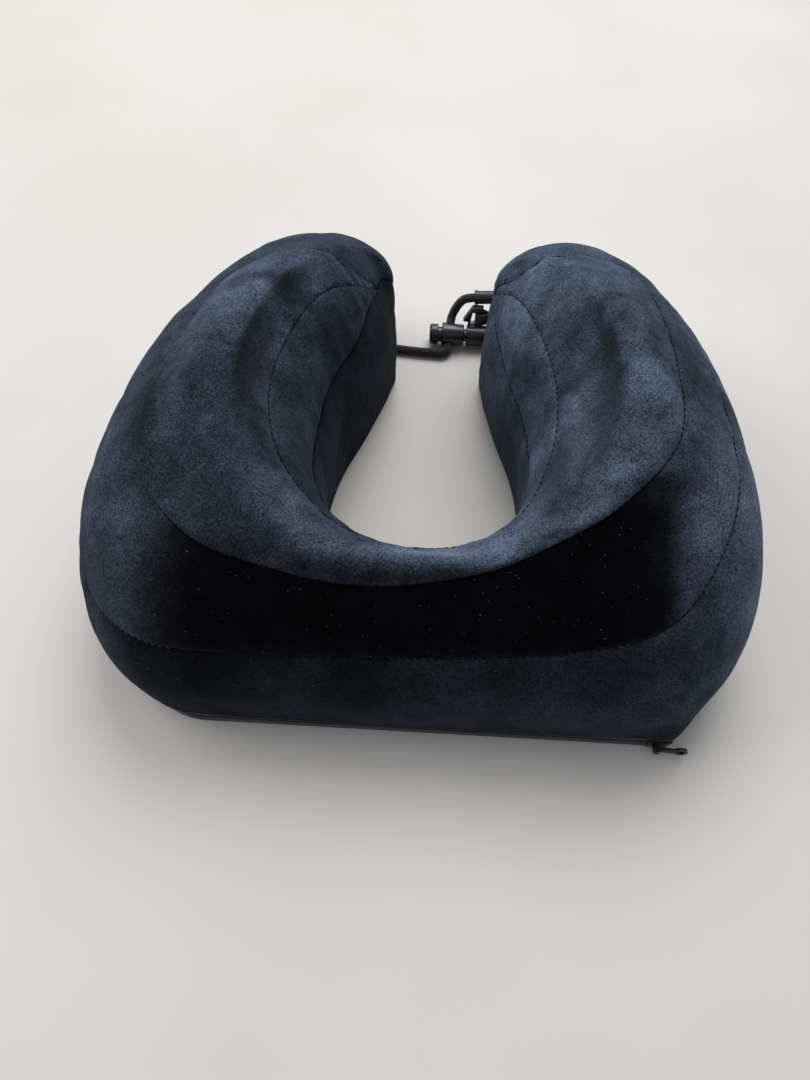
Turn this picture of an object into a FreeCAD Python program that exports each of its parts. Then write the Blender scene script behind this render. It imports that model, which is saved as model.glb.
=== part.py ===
"""U-shaped travel neck pillow.

A memory-foam core in a zipped cover of sewn velour panels. The two arm tips are joined by a
braided cord that runs through a spring cord lock, and the cord lock plugs into a socket that
hangs on a webbing tab in the other tip.

Frame: X across the shoulders, Y from the back of the neck to the arm tips, +Z up. The origin is
on the table under the middle of the pillow.
"""
import FreeCAD, Part
import math
import os
import Sketcher
from FreeCAD import Placement, Rotation, Vector

DOC = FreeCAD.newDocument("neck_pillow")

# ---------------------------------------------------------------- driving dimensions (mm)
SIZES = {
    "pillow_width": 276.0,        # across the arms at the table
    "pillow_depth": 247.0,        # back edge to the far side of the tips
    "pillow_height": 118.0,       # crest of the side lobes
    "neck_width": 95.0,           # widest part of the neck opening
    "back_thickness": 58.0,       # back edge to the neck opening
    "mouth_width": 52.0,          # between the arm tips
    "arm_lean": 8.0,              # both arms lean this far to the right at the tips
    "origin_side": 0.6,           # origin right of the centre line of the back
    "origin_depth": 122.3,        # origin in front of the back edge of the base
    "cover_thickness": 2.0,       # velour with its backing
    "cover_ease": 1.0,            # between cover and foam
    "seam_gap": 0.5,              # between neighbouring panels
    "bottom_thickness": 1.8,      # flat base panel
    "zip_start": -98.0,           # left end of the zip, from the centre line
    "zip_length": 207.0,          # chain along the back edge
    "zip_setback": -0.6,          # chain plane, behind (+) or proud of (-) the back edge
    "zip_height": 4.6,            # chain centre above the table
    "zip_window": 7.5,            # lower edge of the band above the zip
    "tape_thickness": 0.5,
    "coil_width": 1.05,           # one coil, across the chain
    "coil_thickness": 1.4,
    "coil_gap": 0.5,              # between the two coils, where the divider runs
    "slider_length": 8.0,
    "slider_width": 4.8,
    "slider_plate": 0.8,
    "slider_room": 1.7,           # between the slider's plates
    "slider_inset": 5.0,          # slider's middle from the right-hand end of the zip
    "pull_length": 12.5,
    "pull_width": 5.6,
    "pull_thickness": 1.1,
    "pull_angle": 358.0,          # direction of the pull at rest, degrees from +X
    "pull_pin_radius": 0.6,
    "cord_diameter": 5.0,
    "lock_forward": 21.0,         # lock axis beyond the line of the tips' inner corners
    "lock_height": 7.0,           # lock axis above the table
    "lock_offset": 0.8,           # left face of the lock from the middle of the mouth
    "lock_length": 12.4,
    "lock_big_radius": 6.7,
    "lock_small_radius": 5.9,
    "lock_bore_radius": 4.4,
    "lock_end_wall": 1.2,
    "lock_hole_station": 4.4,     # cord hole from the left face
    "lock_hole_clearance": 0.2,
    "lock_tilt": 20.0,            # cord hole rises towards the back, degrees
    "plug_radius": 3.4,
    "plug_length": 7.2,
    "knob_radius": 5.7,
    "knob_length": 4.8,
    "knob_travel": 2.0,
    "stem_clearance": 0.2,
    "spring_wire": 0.5,
    "spring_turns": 2.5,
    "socket_gap": 1.5,            # lock's face to socket's face
    "socket_radius": 5.9,
    "socket_length": 12.0,
    "plug_clearance": 0.15,
    "loop_thickness": 3.0,
    "loop_height": 16.4,          # top of the loop above the lock's axis
    "loop_width": 8.6,
    "loop_bar": 3.0,
    "loop_slot_width": 4.0,
    "loop_lead": 2.2,             # loop's shoulder ahead of the socket's face
    "loop_shoulder": 6.8,         # shoulder's height above the lock's axis
    "loop_slot_low": 5.0,
    "loop_slot_high": 13.0,
    "loop_set_back": 4.0,         # front of the loop behind the lock's axis
    "web_thickness": 1.1,
    "web_clearance": 0.25,
    "cap_radius": 4.0,
    "cap_length": 10.4,
    "cap_rim": 1.6,
    "cap_recess": 2.0,
}

sheet = DOC.addObject("Spreadsheet::Sheet", "Sizes")
for row, (alias, number) in enumerate(SIZES.items(), start=1):
    sheet.set("A%d" % row, alias)
    sheet.set("B%d" % row, str(number))
    sheet.setAlias("B%d" % row, alias)
DOC.recompute()


def size(alias):
    """A driving dimension, read from the sheet."""
    return float(getattr(sheet, alias))


# ---------------------------------------------------------------- body surface
# The right half as drawn at its nominal size; the left half mirrors it. Each station is one
# upright slice from the outer edge of the base to its inner edge:
# outer x, y; inner x, y; heights of outer shoulder, crest, inner shoulder;
# distances in from the edges of outer shoulder, crest (from outside) and inner shoulder.
NOMINAL_WIDTH, NOMINAL_DEPTH, NOMINAL_HEIGHT = 276.0, 247.0, 118.0
NOMINAL_NECK, NOMINAL_BACK, NOMINAL_MOUTH = 95.0, 58.0, 52.0
STATIONS = [
    (0, 0, 0, 58, 79, 86, 76, 23, 32, 17),
    (35, 0, 17, 59.5, 80.5, 88, 78, 24, 33, 17),
    (70, 0, 31, 65.5, 84, 93, 85, 32, 44, 19),
    (101, 3, 40, 75, 91, 101, 92, 42, 58, 20),
    (124, 21, 45, 86, 98, 109, 97, 46, 66, 21),
    (137, 53, 47.5, 99, 104, 115, 101, 40, 66, 22),
    (138, 90, 47, 116, 106, 118, 104, 36, 64, 23),
    (134, 126, 43, 137, 105, 117.5, 106, 35, 62, 22),
    (127, 160, 36, 158, 101.5, 112, 105, 35, 60, 22),
    (116, 192, 31, 175, 96.5, 103, 99, 35, 57, 20),
    (100, 220, 27.5, 188, 91, 94, 90, 36, 55, 17),
    (79, 240, 26, 196, 83.5, 84.5, 81, 36, 52, 13),
    (57, 247, 25, 201, 74.5, 76, 74, 31, 43, 9),
    (39, 240, 24.5, 205, 66, 68, 67, 20, 27, 6),
    (26.5, 215, 26, 213.5, 57, 58, 57, 0.5, 0.8, 0.4),
]
LAST = len(STATIONS) - 1
NECK_STATION, MOUTH_STATION = 7, 11     # the opening's width gives way to the mouth's between
SIDE_BULGE = 3.0                        # the sides stand this far outside the base's edge
TIP_SET = 1.5                           # a tip's outer corner beyond its inner one

# Seams: (station, place on the slice); the slice runs from 0 at the outer base edge over the
# crest, at 6, to 11 at the inner base edge. The cover sits a little turned on the foam, so the
# left and right halves differ.
SEAM_BAND = [(-14, 3.1), (-10, 2.9), (-7, 2.6), (-4.6, 2.5), (-3, 2.8), (-1, 3.1), (1, 3.35),
             (3, 3.65), (5, 4.0), (7, 4.0), (10, 3.7), (14, 3.2)]
SEAM_TOP = [(-14, 7.0), (-11.5, 7.5), (-10.2, 7.8), (-9.4, 7.3), (-8.9, 6.3), (-8.3, 5.35),
            (-7, 5.05), (-5.4, 4.75), (-4, 4.6), (-2, 4.9), (0, 5.1), (1.5, 5.7), (2.5, 5.8),
            (4, 5.45), (6, 5.25), (8, 4.95), (9, 5.2), (9.6, 6.3), (10.2, 7.3), (11, 7.6),
            (12.5, 7.55), (14, 7.3)]
SEAM_NECK = [(-10.4, 7.95), (-9.4, 7.78), (-8.2, 7.5), (-7, 7.42), (-5, 7.38), (-3.2, 7.38),
             (-2, 7.6), (0, 7.7), (2, 8.0), (4, 8.2), (6, 8.05), (8, 7.95), (10, 7.9), (12.6, 7.75)]
SEAM_THROAT = [(-14, 7.15), (-12, 7.5), (-11, 7.75), (-10.2, 8.0), (-9.4, 8.2), (-8.4, 8.5),
               (-7, 8.58), (-5.5, 8.7), (-4.2, 8.6), (-2, 8.6), (0, 8.7), (2, 8.9), (4, 9.1),
               (6, 9.1), (8, 9.0), (9.2, 8.8), (10.6, 8.5), (12, 8.1), (13, 7.85), (14, 7.6)]
PANEL_END = 13.8                        # panels stop just short of the upright corner seams
FOAM_END = 13.5
TOP_PANEL_ENDS = (-9.9, 12.2)
NECK_PANEL_ENDS = (-10.1, 12.3)
COLUMN_STEP = 0.2                       # spacing of the surface's columns, in stations


def spline(points, parameters):
    """A smooth curve through points at the given parameters."""
    curve = Part.BSplineCurve()
    curve.interpolate(Points=points, Parameters=[float(p) for p in parameters])
    return curve


def plan_point(x, y, inner, station):
    """A base-edge point of the nominal drawing, taken to the sizes in the sheet."""
    depth = size("pillow_depth")
    if inner:
        share = min(max((station - NECK_STATION) / (MOUTH_STATION - NECK_STATION), 0.0), 1.0)
        neck_scale = size("neck_width") / NOMINAL_NECK
        mouth_scale = size("mouth_width") / NOMINAL_MOUTH
        x *= neck_scale * (1.0 - share) + mouth_scale * share
        stretch = (depth - size("back_thickness")) / (NOMINAL_DEPTH - NOMINAL_BACK)
        y = size("back_thickness") + (y - NOMINAL_BACK) * stretch
    else:
        x *= size("mouth_width") / NOMINAL_MOUTH if station == LAST \
            else size("pillow_width") / NOMINAL_WIDTH
        y *= depth / NOMINAL_DEPTH
        if station == LAST:
            y = plan_point(STATIONS[LAST][2], STATIONS[LAST][3], True, LAST).y + TIP_SET
    return Vector(x, y, 0)


def slice_points(station):
    """The twelve shaping points of one slice of the right half."""
    ox, oy, ix, iy, z_out, z_crest, z_in, r_out, r_crest, r_in = STATIONS[station]
    outer = plan_point(ox, oy, False, station)
    inner = plan_point(ix, iy, True, station)
    across = inner - outer
    width = across.Length
    across.normalize()
    rise = size("pillow_height") / NOMINAL_HEIGHT
    z_out, z_crest, z_in = z_out * rise, z_crest * rise, z_in * rise
    bulge = min(SIDE_BULGE, 0.08 * width)
    outline = [
        (0, 0), (-0.8 * bulge, 0.20 * z_out), (-bulge, 0.42 * z_out),
        (0.14 * r_out, 0.68 * z_out), (0.50 * r_out, 0.87 * z_out), (r_out, z_out),
        (r_crest, z_crest), (width - r_in, z_in), (width - 0.35 * r_in, 0.80 * z_in),
        (width + 0.3 * bulge, 0.50 * z_in), (width + 0.5 * bulge, 0.22 * z_in), (width, 0),
    ]
    return [outer + across * a + Vector(0, 0, z) for a, z in outline]


def lean(point):
    """Shear the arms sideways, more towards the tips."""
    return point + Vector(size("arm_lean") * (point.y / size("pillow_depth")) ** 2, 0, 0)


def body_rails():
    """One curve along the pillow through each shaping point, left tip to right tip."""
    right = [slice_points(i) for i in range(LAST + 1)]
    left = [[Vector(-p.x, p.y, p.z) for p in row] for row in right[:0:-1]]
    rows = [[lean(p) for p in row] for row in left + right]
    stations = range(-LAST, LAST + 1)
    return [spline([row[j] for row in rows], stations) for j in range(len(rows[0]))]


RAILS = body_rails()
SLICES = {}


def slice_curve(station):
    """The smooth slice at any station between the drawn ones."""
    key = round(station, 4)
    if key not in SLICES:
        SLICES[key] = spline([rail.value(key) for rail in RAILS], range(len(RAILS)))
    return SLICES[key]


def surface_point(station, place):
    return slice_curve(station).value(place)


NORMAL_STEP = 0.02                      # stations and places either side of a normal's point


def surface_normal(station, place):
    """Outward normal of the body."""
    step = NORMAL_STEP
    low, high = max(place - step, 0.0), min(place + step, 11.0)
    along = surface_point(min(station + step, LAST), place)
    along = along - surface_point(max(station - step, -LAST), place)
    across = surface_point(station, high) - surface_point(station, low)
    return along.cross(across).normalize()


def skin_point(station, place, depth):
    """A point this far under the cover's outer surface."""
    return surface_point(station, place) - surface_normal(station, place) * depth


def place_at_height(station, height):
    """Where the outer side of a slice reaches a height."""
    low, high = 0.0, 3.0
    for _ in range(24):
        middle = (low + high) / 2
        if surface_point(station, middle).z < height:
            low = middle
        else:
            high = middle
    return low


# ---------------------------------------------------------------- solids from point grids
def uniform_knots(count):
    """Knots and their multiplicities for a clamped cubic with this many poles."""
    spans = count - 3
    return list(range(spans + 1)), [4] + [1] * (spans - 1) + [4]


def net_surface(rows):
    """A smooth cubic surface drawn by a dense net of points."""
    u_knots, u_mults = uniform_knots(len(rows))
    v_knots, v_mults = uniform_knots(len(rows[0]))
    surface = Part.BSplineSurface()
    surface.buildFromPolesMultsKnots(rows, u_mults, v_mults, u_knots, v_knots,
                                     False, False, 3, 3)
    return surface


FORWARD = 1         # makeRuledSurface pairs the edges' starts


def closed_solid(faces):
    shell = Part.makeShell(faces)
    shell.sewShape()
    solid = Part.makeSolid(shell)
    if solid.Volume < 0:
        solid.reverse()
    return solid


def columns(first, last):
    count = max(2, math.ceil((last - first) / COLUMN_STEP))
    return [first + (last - first) * i / count for i in range(count + 1)]


def panel_solid(first, last, low, high, rows=13):
    """One cover panel: the strip between two seams, as thick as the cover."""
    outer, inner = [], []
    for station in columns(first, last):
        a, b = low(station), high(station)
        places = [a + (b - a) * i / (rows - 1) for i in range(rows)]
        outer.append([surface_point(station, p) for p in places])
        inner.append([skin_point(station, p, size("cover_thickness")) for p in places])
    outside, inside = net_surface(outer), net_surface(inner)
    u0, u1, v0, v1 = outside.bounds()
    w0, w1, q0, q1 = inside.bounds()
    faces = [outside.toShape(), inside.toShape()]
    pairs = [(outside.uIso(u0), inside.uIso(w0)), (outside.uIso(u1), inside.uIso(w1)),
             (outside.vIso(v0), inside.vIso(q0)), (outside.vIso(v1), inside.vIso(q1))]
    faces += [Part.makeRuledSurface(a.toShape(), b.toShape(), FORWARD) for a, b in pairs]
    return closed_solid(faces)


def seam_place(table):
    """A seam's place on the slice as a function of the station."""
    stations = [s for s, _ in table]
    curve = spline([Vector(s, p, 0) for s, p in table], stations)
    return lambda station: curve.value(min(max(station, stations[0]), stations[-1])).y


# ---------------------------------------------------------------- document helpers
PARTS = []
ORIGIN_SHIFT = Vector(-size("origin_side"), -size("origin_depth"), 0)


def add_shape(label, shape, shift=None):
    """A sub-part whose shape is worked out here; the sheet's sizes are read in code."""
    feature = DOC.addObject("Part::Feature", label)
    feature.Label = label
    feature.Shape = shape
    move = Placement(ORIGIN_SHIFT + (shift or Vector()), Rotation())
    feature.Placement = move.multiply(shape.Placement)
    PARTS.append(feature)
    return feature


def add_primitive(kind, name, position, **sizes):
    """A Part primitive whose sizes and place are expressions on the sheet."""
    feature = DOC.addObject(kind, name)
    for prop, expression in sizes.items():
        feature.setExpression(prop, expression)
    for axis, expression in zip("xyz", position):
        feature.setExpression("Placement.Base." + axis, expression)
    return feature


def origin_plane(body, role):
    return [f for f in body.Origin.OriginFeatures if f.Role == role][0]


def add_sketch(body, name, role):
    sketch = body.newObject("Sketcher::SketchObject", name)
    sketch.AttachmentSupport = (origin_plane(body, role), [""])
    sketch.MapMode = "FlatFace"
    return sketch


def dimension(sketch, kind, geometry, vertex, expression, start):
    """Hold one coordinate of a vertex at an expression, or on the axis where it is zero."""
    if expression == "0":
        axis = -2 if kind == "DistanceX" else -1
        sketch.addConstraint(Sketcher.Constraint("PointOnObject", geometry, vertex, axis))
        return
    index = sketch.addConstraint(Sketcher.Constraint(kind, -1, 1, geometry, vertex, start))
    sketch.setExpression("Constraints[%d]" % index, expression)


def value_of(expression):
    """The number that an expression on the sheet gives now."""
    if expression == "0":
        return 0.0
    return float(sheet.evalExpression(expression))


def polygon_sketch(body, name, role, corners):
    """A closed outline whose corners are pairs of expressions."""
    sketch = add_sketch(body, name, role)
    points = [Vector(value_of(x), value_of(y), 0) for x, y in corners]
    count = len(points)
    for i in range(count):
        sketch.addGeometry(Part.LineSegment(points[i], points[(i + 1) % count]))
    for i in range(count):
        sketch.addConstraint(Sketcher.Constraint("Coincident", i, 2, (i + 1) % count, 1))
    for i, (x, y) in enumerate(corners):
        dimension(sketch, "DistanceX", i, 1, x, points[i].x)
        dimension(sketch, "DistanceY", i, 1, y, points[i].y)
    return sketch


def add_body(label):
    body = DOC.addObject("PartDesign::Body", label)
    body.Label = label
    PARTS.append(body)
    return body


def revolve(body, name, corners):
    """Turn an outline of (along X, radius) corners about the body's X axis."""
    sketch = polygon_sketch(body, name + "_outline", "XZ_Plane", corners)
    feature = body.newObject("PartDesign::Revolution", name)
    feature.Profile = sketch
    feature.ReferenceAxis = (sketch, ["H_Axis"])
    feature.Angle = 360
    return feature


def cut_through(body, name, sketch):
    """Cut a sketch on the XZ plane right through, both ways."""
    DOC.recompute()
    before = body.Shape.Volume
    feature = body.newObject("PartDesign::Pocket", name)
    feature.Profile = sketch
    feature.Type = "ThroughAll"
    feature.SideType = "Symmetric"
    DOC.recompute()
    if body.Shape.Volume >= before:
        raise RuntimeError(name + " cuts nothing")
    return feature


def round_rims(body, name, base, radius, rims):
    """Fillet the circular edges at the given (along X, radius) places."""
    DOC.recompute()
    names = []
    for i, edge in enumerate(base.Shape.Edges, start=1):
        if isinstance(edge.Curve, Part.Circle) and edge.Closed:
            found = (edge.Curve.Center.x, edge.Curve.Radius)
            if any(math.dist(found, (value_of(x), value_of(r))) < 1e-4 for x, r in rims):
                names.append("Edge%d" % i)
    if len(names) != len(rims):
        raise RuntimeError(name + " finds %d of %d rims" % (len(names), len(rims)))
    feature = body.newObject("PartDesign::Fillet", name)
    feature.Base = (base, names)
    feature.Radius = radius
    return feature


# ---------------------------------------------------------------- foam core and cover
SEAM = {
    "band": seam_place(SEAM_BAND), "top": seam_place(SEAM_TOP),
    "neck": seam_place(SEAM_NECK), "throat": seam_place(SEAM_THROAT),
}
PLACE_LENGTH = 13.0                         # one step of place along a slice, about
HALF_GAP = size("seam_gap") / 2 / PLACE_LENGTH
HEM_HEIGHT = 0.4                            # the band's hem above the table
THROAT_HEM = 0.03                           # the throat panel's hem short of the base edge
ZIP_STATIONS = (3.8, 4.8)                   # the raised edge over the zip comes down between


def above(seam):
    return lambda station: SEAM[seam](station) + HALF_GAP


def below(seam):
    return lambda station: SEAM[seam](station) - HALF_GAP


def band_edge(station):
    """Lower edge of the band: raised over the zip, down at the table elsewhere."""
    start, end = ZIP_STATIONS
    share = min(max((abs(station) - start) / (end - start), 0.0), 1.0)
    height = size("zip_window") * (1 - share) + HEM_HEIGHT * share
    return place_at_height(station, height)


def throat_edge(station):
    return 11.0 - THROAT_HEM


def make_foam():
    """The core: the body's own shape, a cover's thickness and ease inside it."""
    depth = size("cover_thickness") + size("cover_ease")
    floor = size("bottom_thickness") + size("cover_ease")
    rows = []
    for station in columns(-FOAM_END, FOAM_END):
        row = [skin_point(station, 11.0 * i / 44, depth) for i in range(45)]
        row[0].z = row[-1].z = floor
        rows.append(row)
    surface = net_surface(rows)
    u0, u1, v0, v1 = surface.bounds()
    outer, inner = surface.vIso(v0).toShape(), surface.vIso(v1).toShape()
    left, right = surface.uIso(u0).toShape(), surface.uIso(u1).toShape()
    faces = [surface.toShape(), Part.makeRuledSurface(outer, inner, FORWARD)]
    for edge in (left, right):
        ends = [v.Point for v in edge.Vertexes]
        closing = Part.makeLine(ends[0], ends[1])
        faces.append(Part.makeRuledSurface(edge, closing))
    return closed_solid(faces)


def make_bottom():
    """The flat base panel, inside the hems of the band and the throat panel."""
    inset = size("cover_thickness") + size("seam_gap")
    outer, inner = [], []
    for station in columns(-FOAM_END, FOAM_END):
        for place, side in ((0.0, outer), (11.0, inner)):
            normal = surface_normal(station, place)
            normal.z = 0
            point = surface_point(station, place) - normal.normalize() * inset
            point.z = 0
            side.append(point)
    curves = []
    for side in (outer, inner):
        curve = Part.BSplineCurve()
        curve.interpolate(Points=side)
        curves.append(curve.toShape())
    ends = [Part.makeLine(outer[i], inner[i]) for i in (0, -1)]
    face = Part.Face(Part.Wire(Part.__sortEdges__(curves + ends)))
    return face.extrude(Vector(0, 0, size("bottom_thickness")))


add_shape("foam_core", make_foam())
add_shape("bottom_panel", make_bottom())
add_shape("base_band", panel_solid(-PANEL_END, PANEL_END, band_edge, below("band")))
add_shape("outer_panel", panel_solid(-PANEL_END, PANEL_END, above("band"), below("top")))
add_shape("top_panel", panel_solid(*TOP_PANEL_ENDS, above("top"), below("neck")))
add_shape("neck_panel", panel_solid(*NECK_PANEL_ENDS, above("neck"), below("throat")))
add_shape("throat_panel", panel_solid(-PANEL_END, PANEL_END, above("throat"), throat_edge))


# ---------------------------------------------------------------- zip along the back edge
CHAIN_Y = "Sizes.zip_setback - Sizes.origin_depth"
CHAIN_START = "Sizes.zip_start - Sizes.origin_side"
TAPE_REACH = "Sizes.coil_gap / 2 + Sizes.coil_width"
TAPE_END_GAP = 0.2                      # tape edge to the panel it is sewn to
STOP_LENGTH = 1.6
STOP_GAP = 0.1                          # coil's end to the stop


def add_zip_half(word, side):
    """One tape with its coil: side is + above the chain's centre line, - below it."""
    tape_low = "Sizes.zip_height + %s" % TAPE_REACH
    tape_width = "Sizes.zip_window - %s - (%s)" % (TAPE_END_GAP, tape_low)
    coil_low = "Sizes.zip_height + Sizes.coil_gap / 2"
    if side < 0:
        tape_low = "Sizes.bottom_thickness + %s" % TAPE_END_GAP
        tape_width = "Sizes.zip_height - (%s) - (%s)" % (TAPE_REACH, tape_low)
        coil_low = "Sizes.zip_height - (%s)" % TAPE_REACH
    tape = add_primitive(
        "Part::Box", "zip_tape_" + word,
        (CHAIN_START, CHAIN_Y + " - Sizes.tape_thickness / 2", tape_low),
        Length="Sizes.zip_length", Width="Sizes.tape_thickness", Height=tape_width)
    coil = add_primitive(
        "Part::Box", "zip_coil_" + word,
        (CHAIN_START, CHAIN_Y + " - Sizes.coil_thickness / 2", coil_low),
        Length="Sizes.zip_length", Width="Sizes.coil_thickness", Height="Sizes.coil_width")
    PARTS.extend([tape, coil])


def add_zip_stops():
    """A stop over both coils at each end of the chain."""
    stops = []
    for name, edge in (("stop_left", CHAIN_START + " - %s" % (STOP_LENGTH + STOP_GAP)),
                       ("stop_right", CHAIN_START + " + Sizes.zip_length + %s" % STOP_GAP)):
        stops.append(add_primitive(
            "Part::Box", name,
            (edge, CHAIN_Y + " - Sizes.coil_thickness / 2",
             "Sizes.zip_height - (%s)" % TAPE_REACH),
            Length=str(STOP_LENGTH), Width="Sizes.coil_thickness",
            Height="2 * (%s)" % TAPE_REACH))
    compound = DOC.addObject("Part::Compound", "zip_stops")
    compound.Links = stops
    PARTS.append(compound)


SLIDER_X = CHAIN_START + " + Sizes.zip_length - Sizes.slider_inset"
PIN_STANDOFF = 1.9                      # pin's axis from the slider's front plate
PIN_Y = CHAIN_Y + " - Sizes.slider_room / 2 - Sizes.slider_plate - %s" % PIN_STANDOFF
EAR_THICKNESS = 0.8
EAR_REACH = 1.0                         # ears beyond the pin's axis
EAR_WIDTH = 2.4
EAR_LAP = 0.1                           # ears into the front plate
DIVIDER_LENGTH = 2.0
DIVIDER_PLAY = 0.05                     # divider to each coil


def add_slider():
    """Two plates either side of the chain, a divider between the coils and ears for the pull."""
    left = SLIDER_X + " - Sizes.slider_length / 2"
    low = "Sizes.zip_height - Sizes.slider_width / 2"
    front_y = CHAIN_Y + " - Sizes.slider_room / 2 - Sizes.slider_plate"
    pieces = []
    for name, depth_position in (("slider_front", front_y),
                                 ("slider_back", CHAIN_Y + " + Sizes.slider_room / 2")):
        pieces.append(add_primitive(
            "Part::Box", name, (left, depth_position, low),
            Length="Sizes.slider_length", Width="Sizes.slider_plate",
            Height="Sizes.slider_width"))
    pieces.append(add_primitive(
        "Part::Box", "slider_divider",
        (SLIDER_X + " + Sizes.slider_length / 2 - %s" % DIVIDER_LENGTH, front_y,
         "Sizes.zip_height - Sizes.coil_gap / 2 + %s" % DIVIDER_PLAY),
        Length=str(DIVIDER_LENGTH), Width="Sizes.slider_room + 2 * Sizes.slider_plate",
        Height="Sizes.coil_gap - 2 * %s" % DIVIDER_PLAY))
    for name, height in (("slider_ear_low", low),
                         ("slider_ear_high",
                          "Sizes.zip_height + Sizes.slider_width / 2 - %s" % EAR_THICKNESS)):
        pieces.append(add_primitive(
            "Part::Box", name,
            (SLIDER_X + " - %s / 2" % EAR_WIDTH, PIN_Y + " - %s" % EAR_REACH, height),
            Length=str(EAR_WIDTH), Width=str(EAR_REACH + PIN_STANDOFF + EAR_LAP),
            Height=str(EAR_THICKNESS)))
    pieces.append(add_primitive(
        "Part::Cylinder", "slider_pin", (SLIDER_X, PIN_Y, low),
        Radius="Sizes.pull_pin_radius", Height="Sizes.slider_width"))
    slider = DOC.addObject("Part::MultiFuse", "zip_slider")
    slider.Shapes = pieces
    PARTS.append(slider)


PULL_EYE_CLEARANCE = 0.15
PULL_EYE_WALL = 0.9
PULL_EYE_PLAY = 0.2                     # eye to each ear
PULL_NECK_START = 3.0                   # from the pin's axis
PULL_ARM_LAP = 0.3                      # arm into the eye's wall
PULL_RIM = 1.3                          # round the window


def add_pull():
    """A flat pull on edge, its eye round the slider's upright pin."""
    eye_height = "Sizes.slider_width - 2 * %s" % (EAR_THICKNESS + PULL_EYE_PLAY)
    eye_low = "Sizes.zip_height - (%s) / 2" % eye_height
    outer = "Sizes.pull_pin_radius + %s" % (PULL_EYE_CLEARANCE + PULL_EYE_WALL)
    middle = "Sizes.pull_length - Sizes.pull_width / 2"
    neck_length = "%s - %s" % (middle, PULL_NECK_START)
    ring = add_primitive("Part::Cylinder", "pull_ring", ("0", "0", eye_low),
                         Radius=outer, Height=eye_height)
    arm = add_primitive(
        "Part::Box", "pull_arm",
        (outer + " - %s" % PULL_ARM_LAP, "-Sizes.pull_thickness / 2", eye_low),
        Length=str(PULL_NECK_START), Width="Sizes.pull_thickness", Height=eye_height)
    paddle = add_primitive(
        "Part::Cylinder", "pull_paddle",
        (middle, "Sizes.pull_thickness / 2", "Sizes.zip_height"),
        Radius="Sizes.pull_width / 2", Height="Sizes.pull_thickness")
    paddle.Placement.Rotation = Rotation(Vector(1, 0, 0), 90)
    neck = add_primitive(
        "Part::Wedge", "pull_neck",
        (str(PULL_NECK_START), "-Sizes.pull_thickness / 2", "Sizes.zip_height"),
        Xmin="0", Xmax=neck_length, Ymin="0",
        Ymax="Sizes.pull_thickness", Zmin="-(%s) / 2" % eye_height, Zmax="(%s) / 2" % eye_height,
        X2min="0", X2max=neck_length,
        Z2min="-(%s) / 2" % eye_height, Z2max="(%s) / 2" % eye_height)
    solid = DOC.addObject("Part::MultiFuse", "pull_solid")
    solid.Shapes = [ring, arm, paddle, neck]
    eye = add_primitive("Part::Cylinder", "pull_eye", ("0", "0", "0"),
                        Radius="Sizes.pull_pin_radius + %s" % PULL_EYE_CLEARANCE,
                        Height="2 * Sizes.zip_height")
    window = add_primitive(
        "Part::Cylinder", "pull_window",
        (middle, "Sizes.pull_thickness", "Sizes.zip_height"),
        Radius="Sizes.pull_width / 2 - %s" % PULL_RIM, Height="2 * Sizes.pull_thickness")
    window.Placement.Rotation = Rotation(Vector(1, 0, 0), 90)
    holes = DOC.addObject("Part::MultiFuse", "pull_holes")
    holes.Shapes = [eye, window]
    pull = DOC.addObject("Part::Cut", "zip_pull")
    pull.Base, pull.Tool = solid, holes
    pull.setExpression("Placement.Base.x", SLIDER_X)
    pull.setExpression("Placement.Base.y", PIN_Y)
    pull.setExpression("Placement.Rotation.Angle", "Sizes.pull_angle")
    PARTS.append(pull)


add_zip_half("upper", 1)
add_zip_half("lower", -1)
add_zip_stops()
add_slider()
add_pull()


# ---------------------------------------------------------------- cord lock and socket
LEFT_TIP = surface_point(-LAST, 0)
RIGHT_TIP = surface_point(LAST, 0)
MOUTH = Vector((LEFT_TIP.x + RIGHT_TIP.x) / 2, (LEFT_TIP.y + RIGHT_TIP.y) / 2, 0)
LOCK_AT = MOUTH + Vector(size("lock_offset"), size("lock_forward"), size("lock_height"))
BORE_DEPTH = "Sizes.lock_length - Sizes.lock_end_wall"
STEM_RADIUS = "Sizes.lock_bore_radius - Sizes.stem_clearance"
HOLE_RADIUS = "Sizes.cord_diameter / 2 + Sizes.lock_hole_clearance"
STEM_WEB = 1.2                          # stem left beyond its slot
RIM_ROUND = 0.5
PLUG_CHAMFER = 1.0
KNOB_GAP = 0.2                          # knob to barrel when pressed home
KNOB_DOME = 1.4                         # length of the knob's tapered end
KNOB_TAPER = 0.5
KNOB_ROUND = 0.4
SPRING_PLAY = 0.05                      # at each end of the spring
SPRING_POINTS = 60


def seat_on_lock_axis(body, along=0.0, turned=False):
    """Put a body on the lock's axis, turned with the cord hole or upright."""
    turn = Rotation(Vector(1, 0, 0), size("lock_tilt") if turned else 0)
    body.Placement = Placement(ORIGIN_SHIFT + LOCK_AT + Vector(along, 0, 0), turn)


def cord_hole(body, name, along):
    sketch = add_sketch(body, name + "_outline", "XZ_Plane")
    centre = Vector(value_of(along), 0, 0)
    sketch.addGeometry(Part.Circle(centre, Vector(0, 0, 1), value_of(HOLE_RADIUS)))
    sketch.addConstraint(Sketcher.Constraint("PointOnObject", 0, 3, -1))
    across = sketch.addConstraint(Sketcher.Constraint("DistanceX", -1, 1, 0, 3, centre.x))
    radius = sketch.addConstraint(Sketcher.Constraint("Radius", 0, value_of(HOLE_RADIUS)))
    sketch.setExpression("Constraints[%d]" % across, along)
    sketch.setExpression("Constraints[%d]" % radius, HOLE_RADIUS)
    return cut_through(body, name, sketch)


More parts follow.
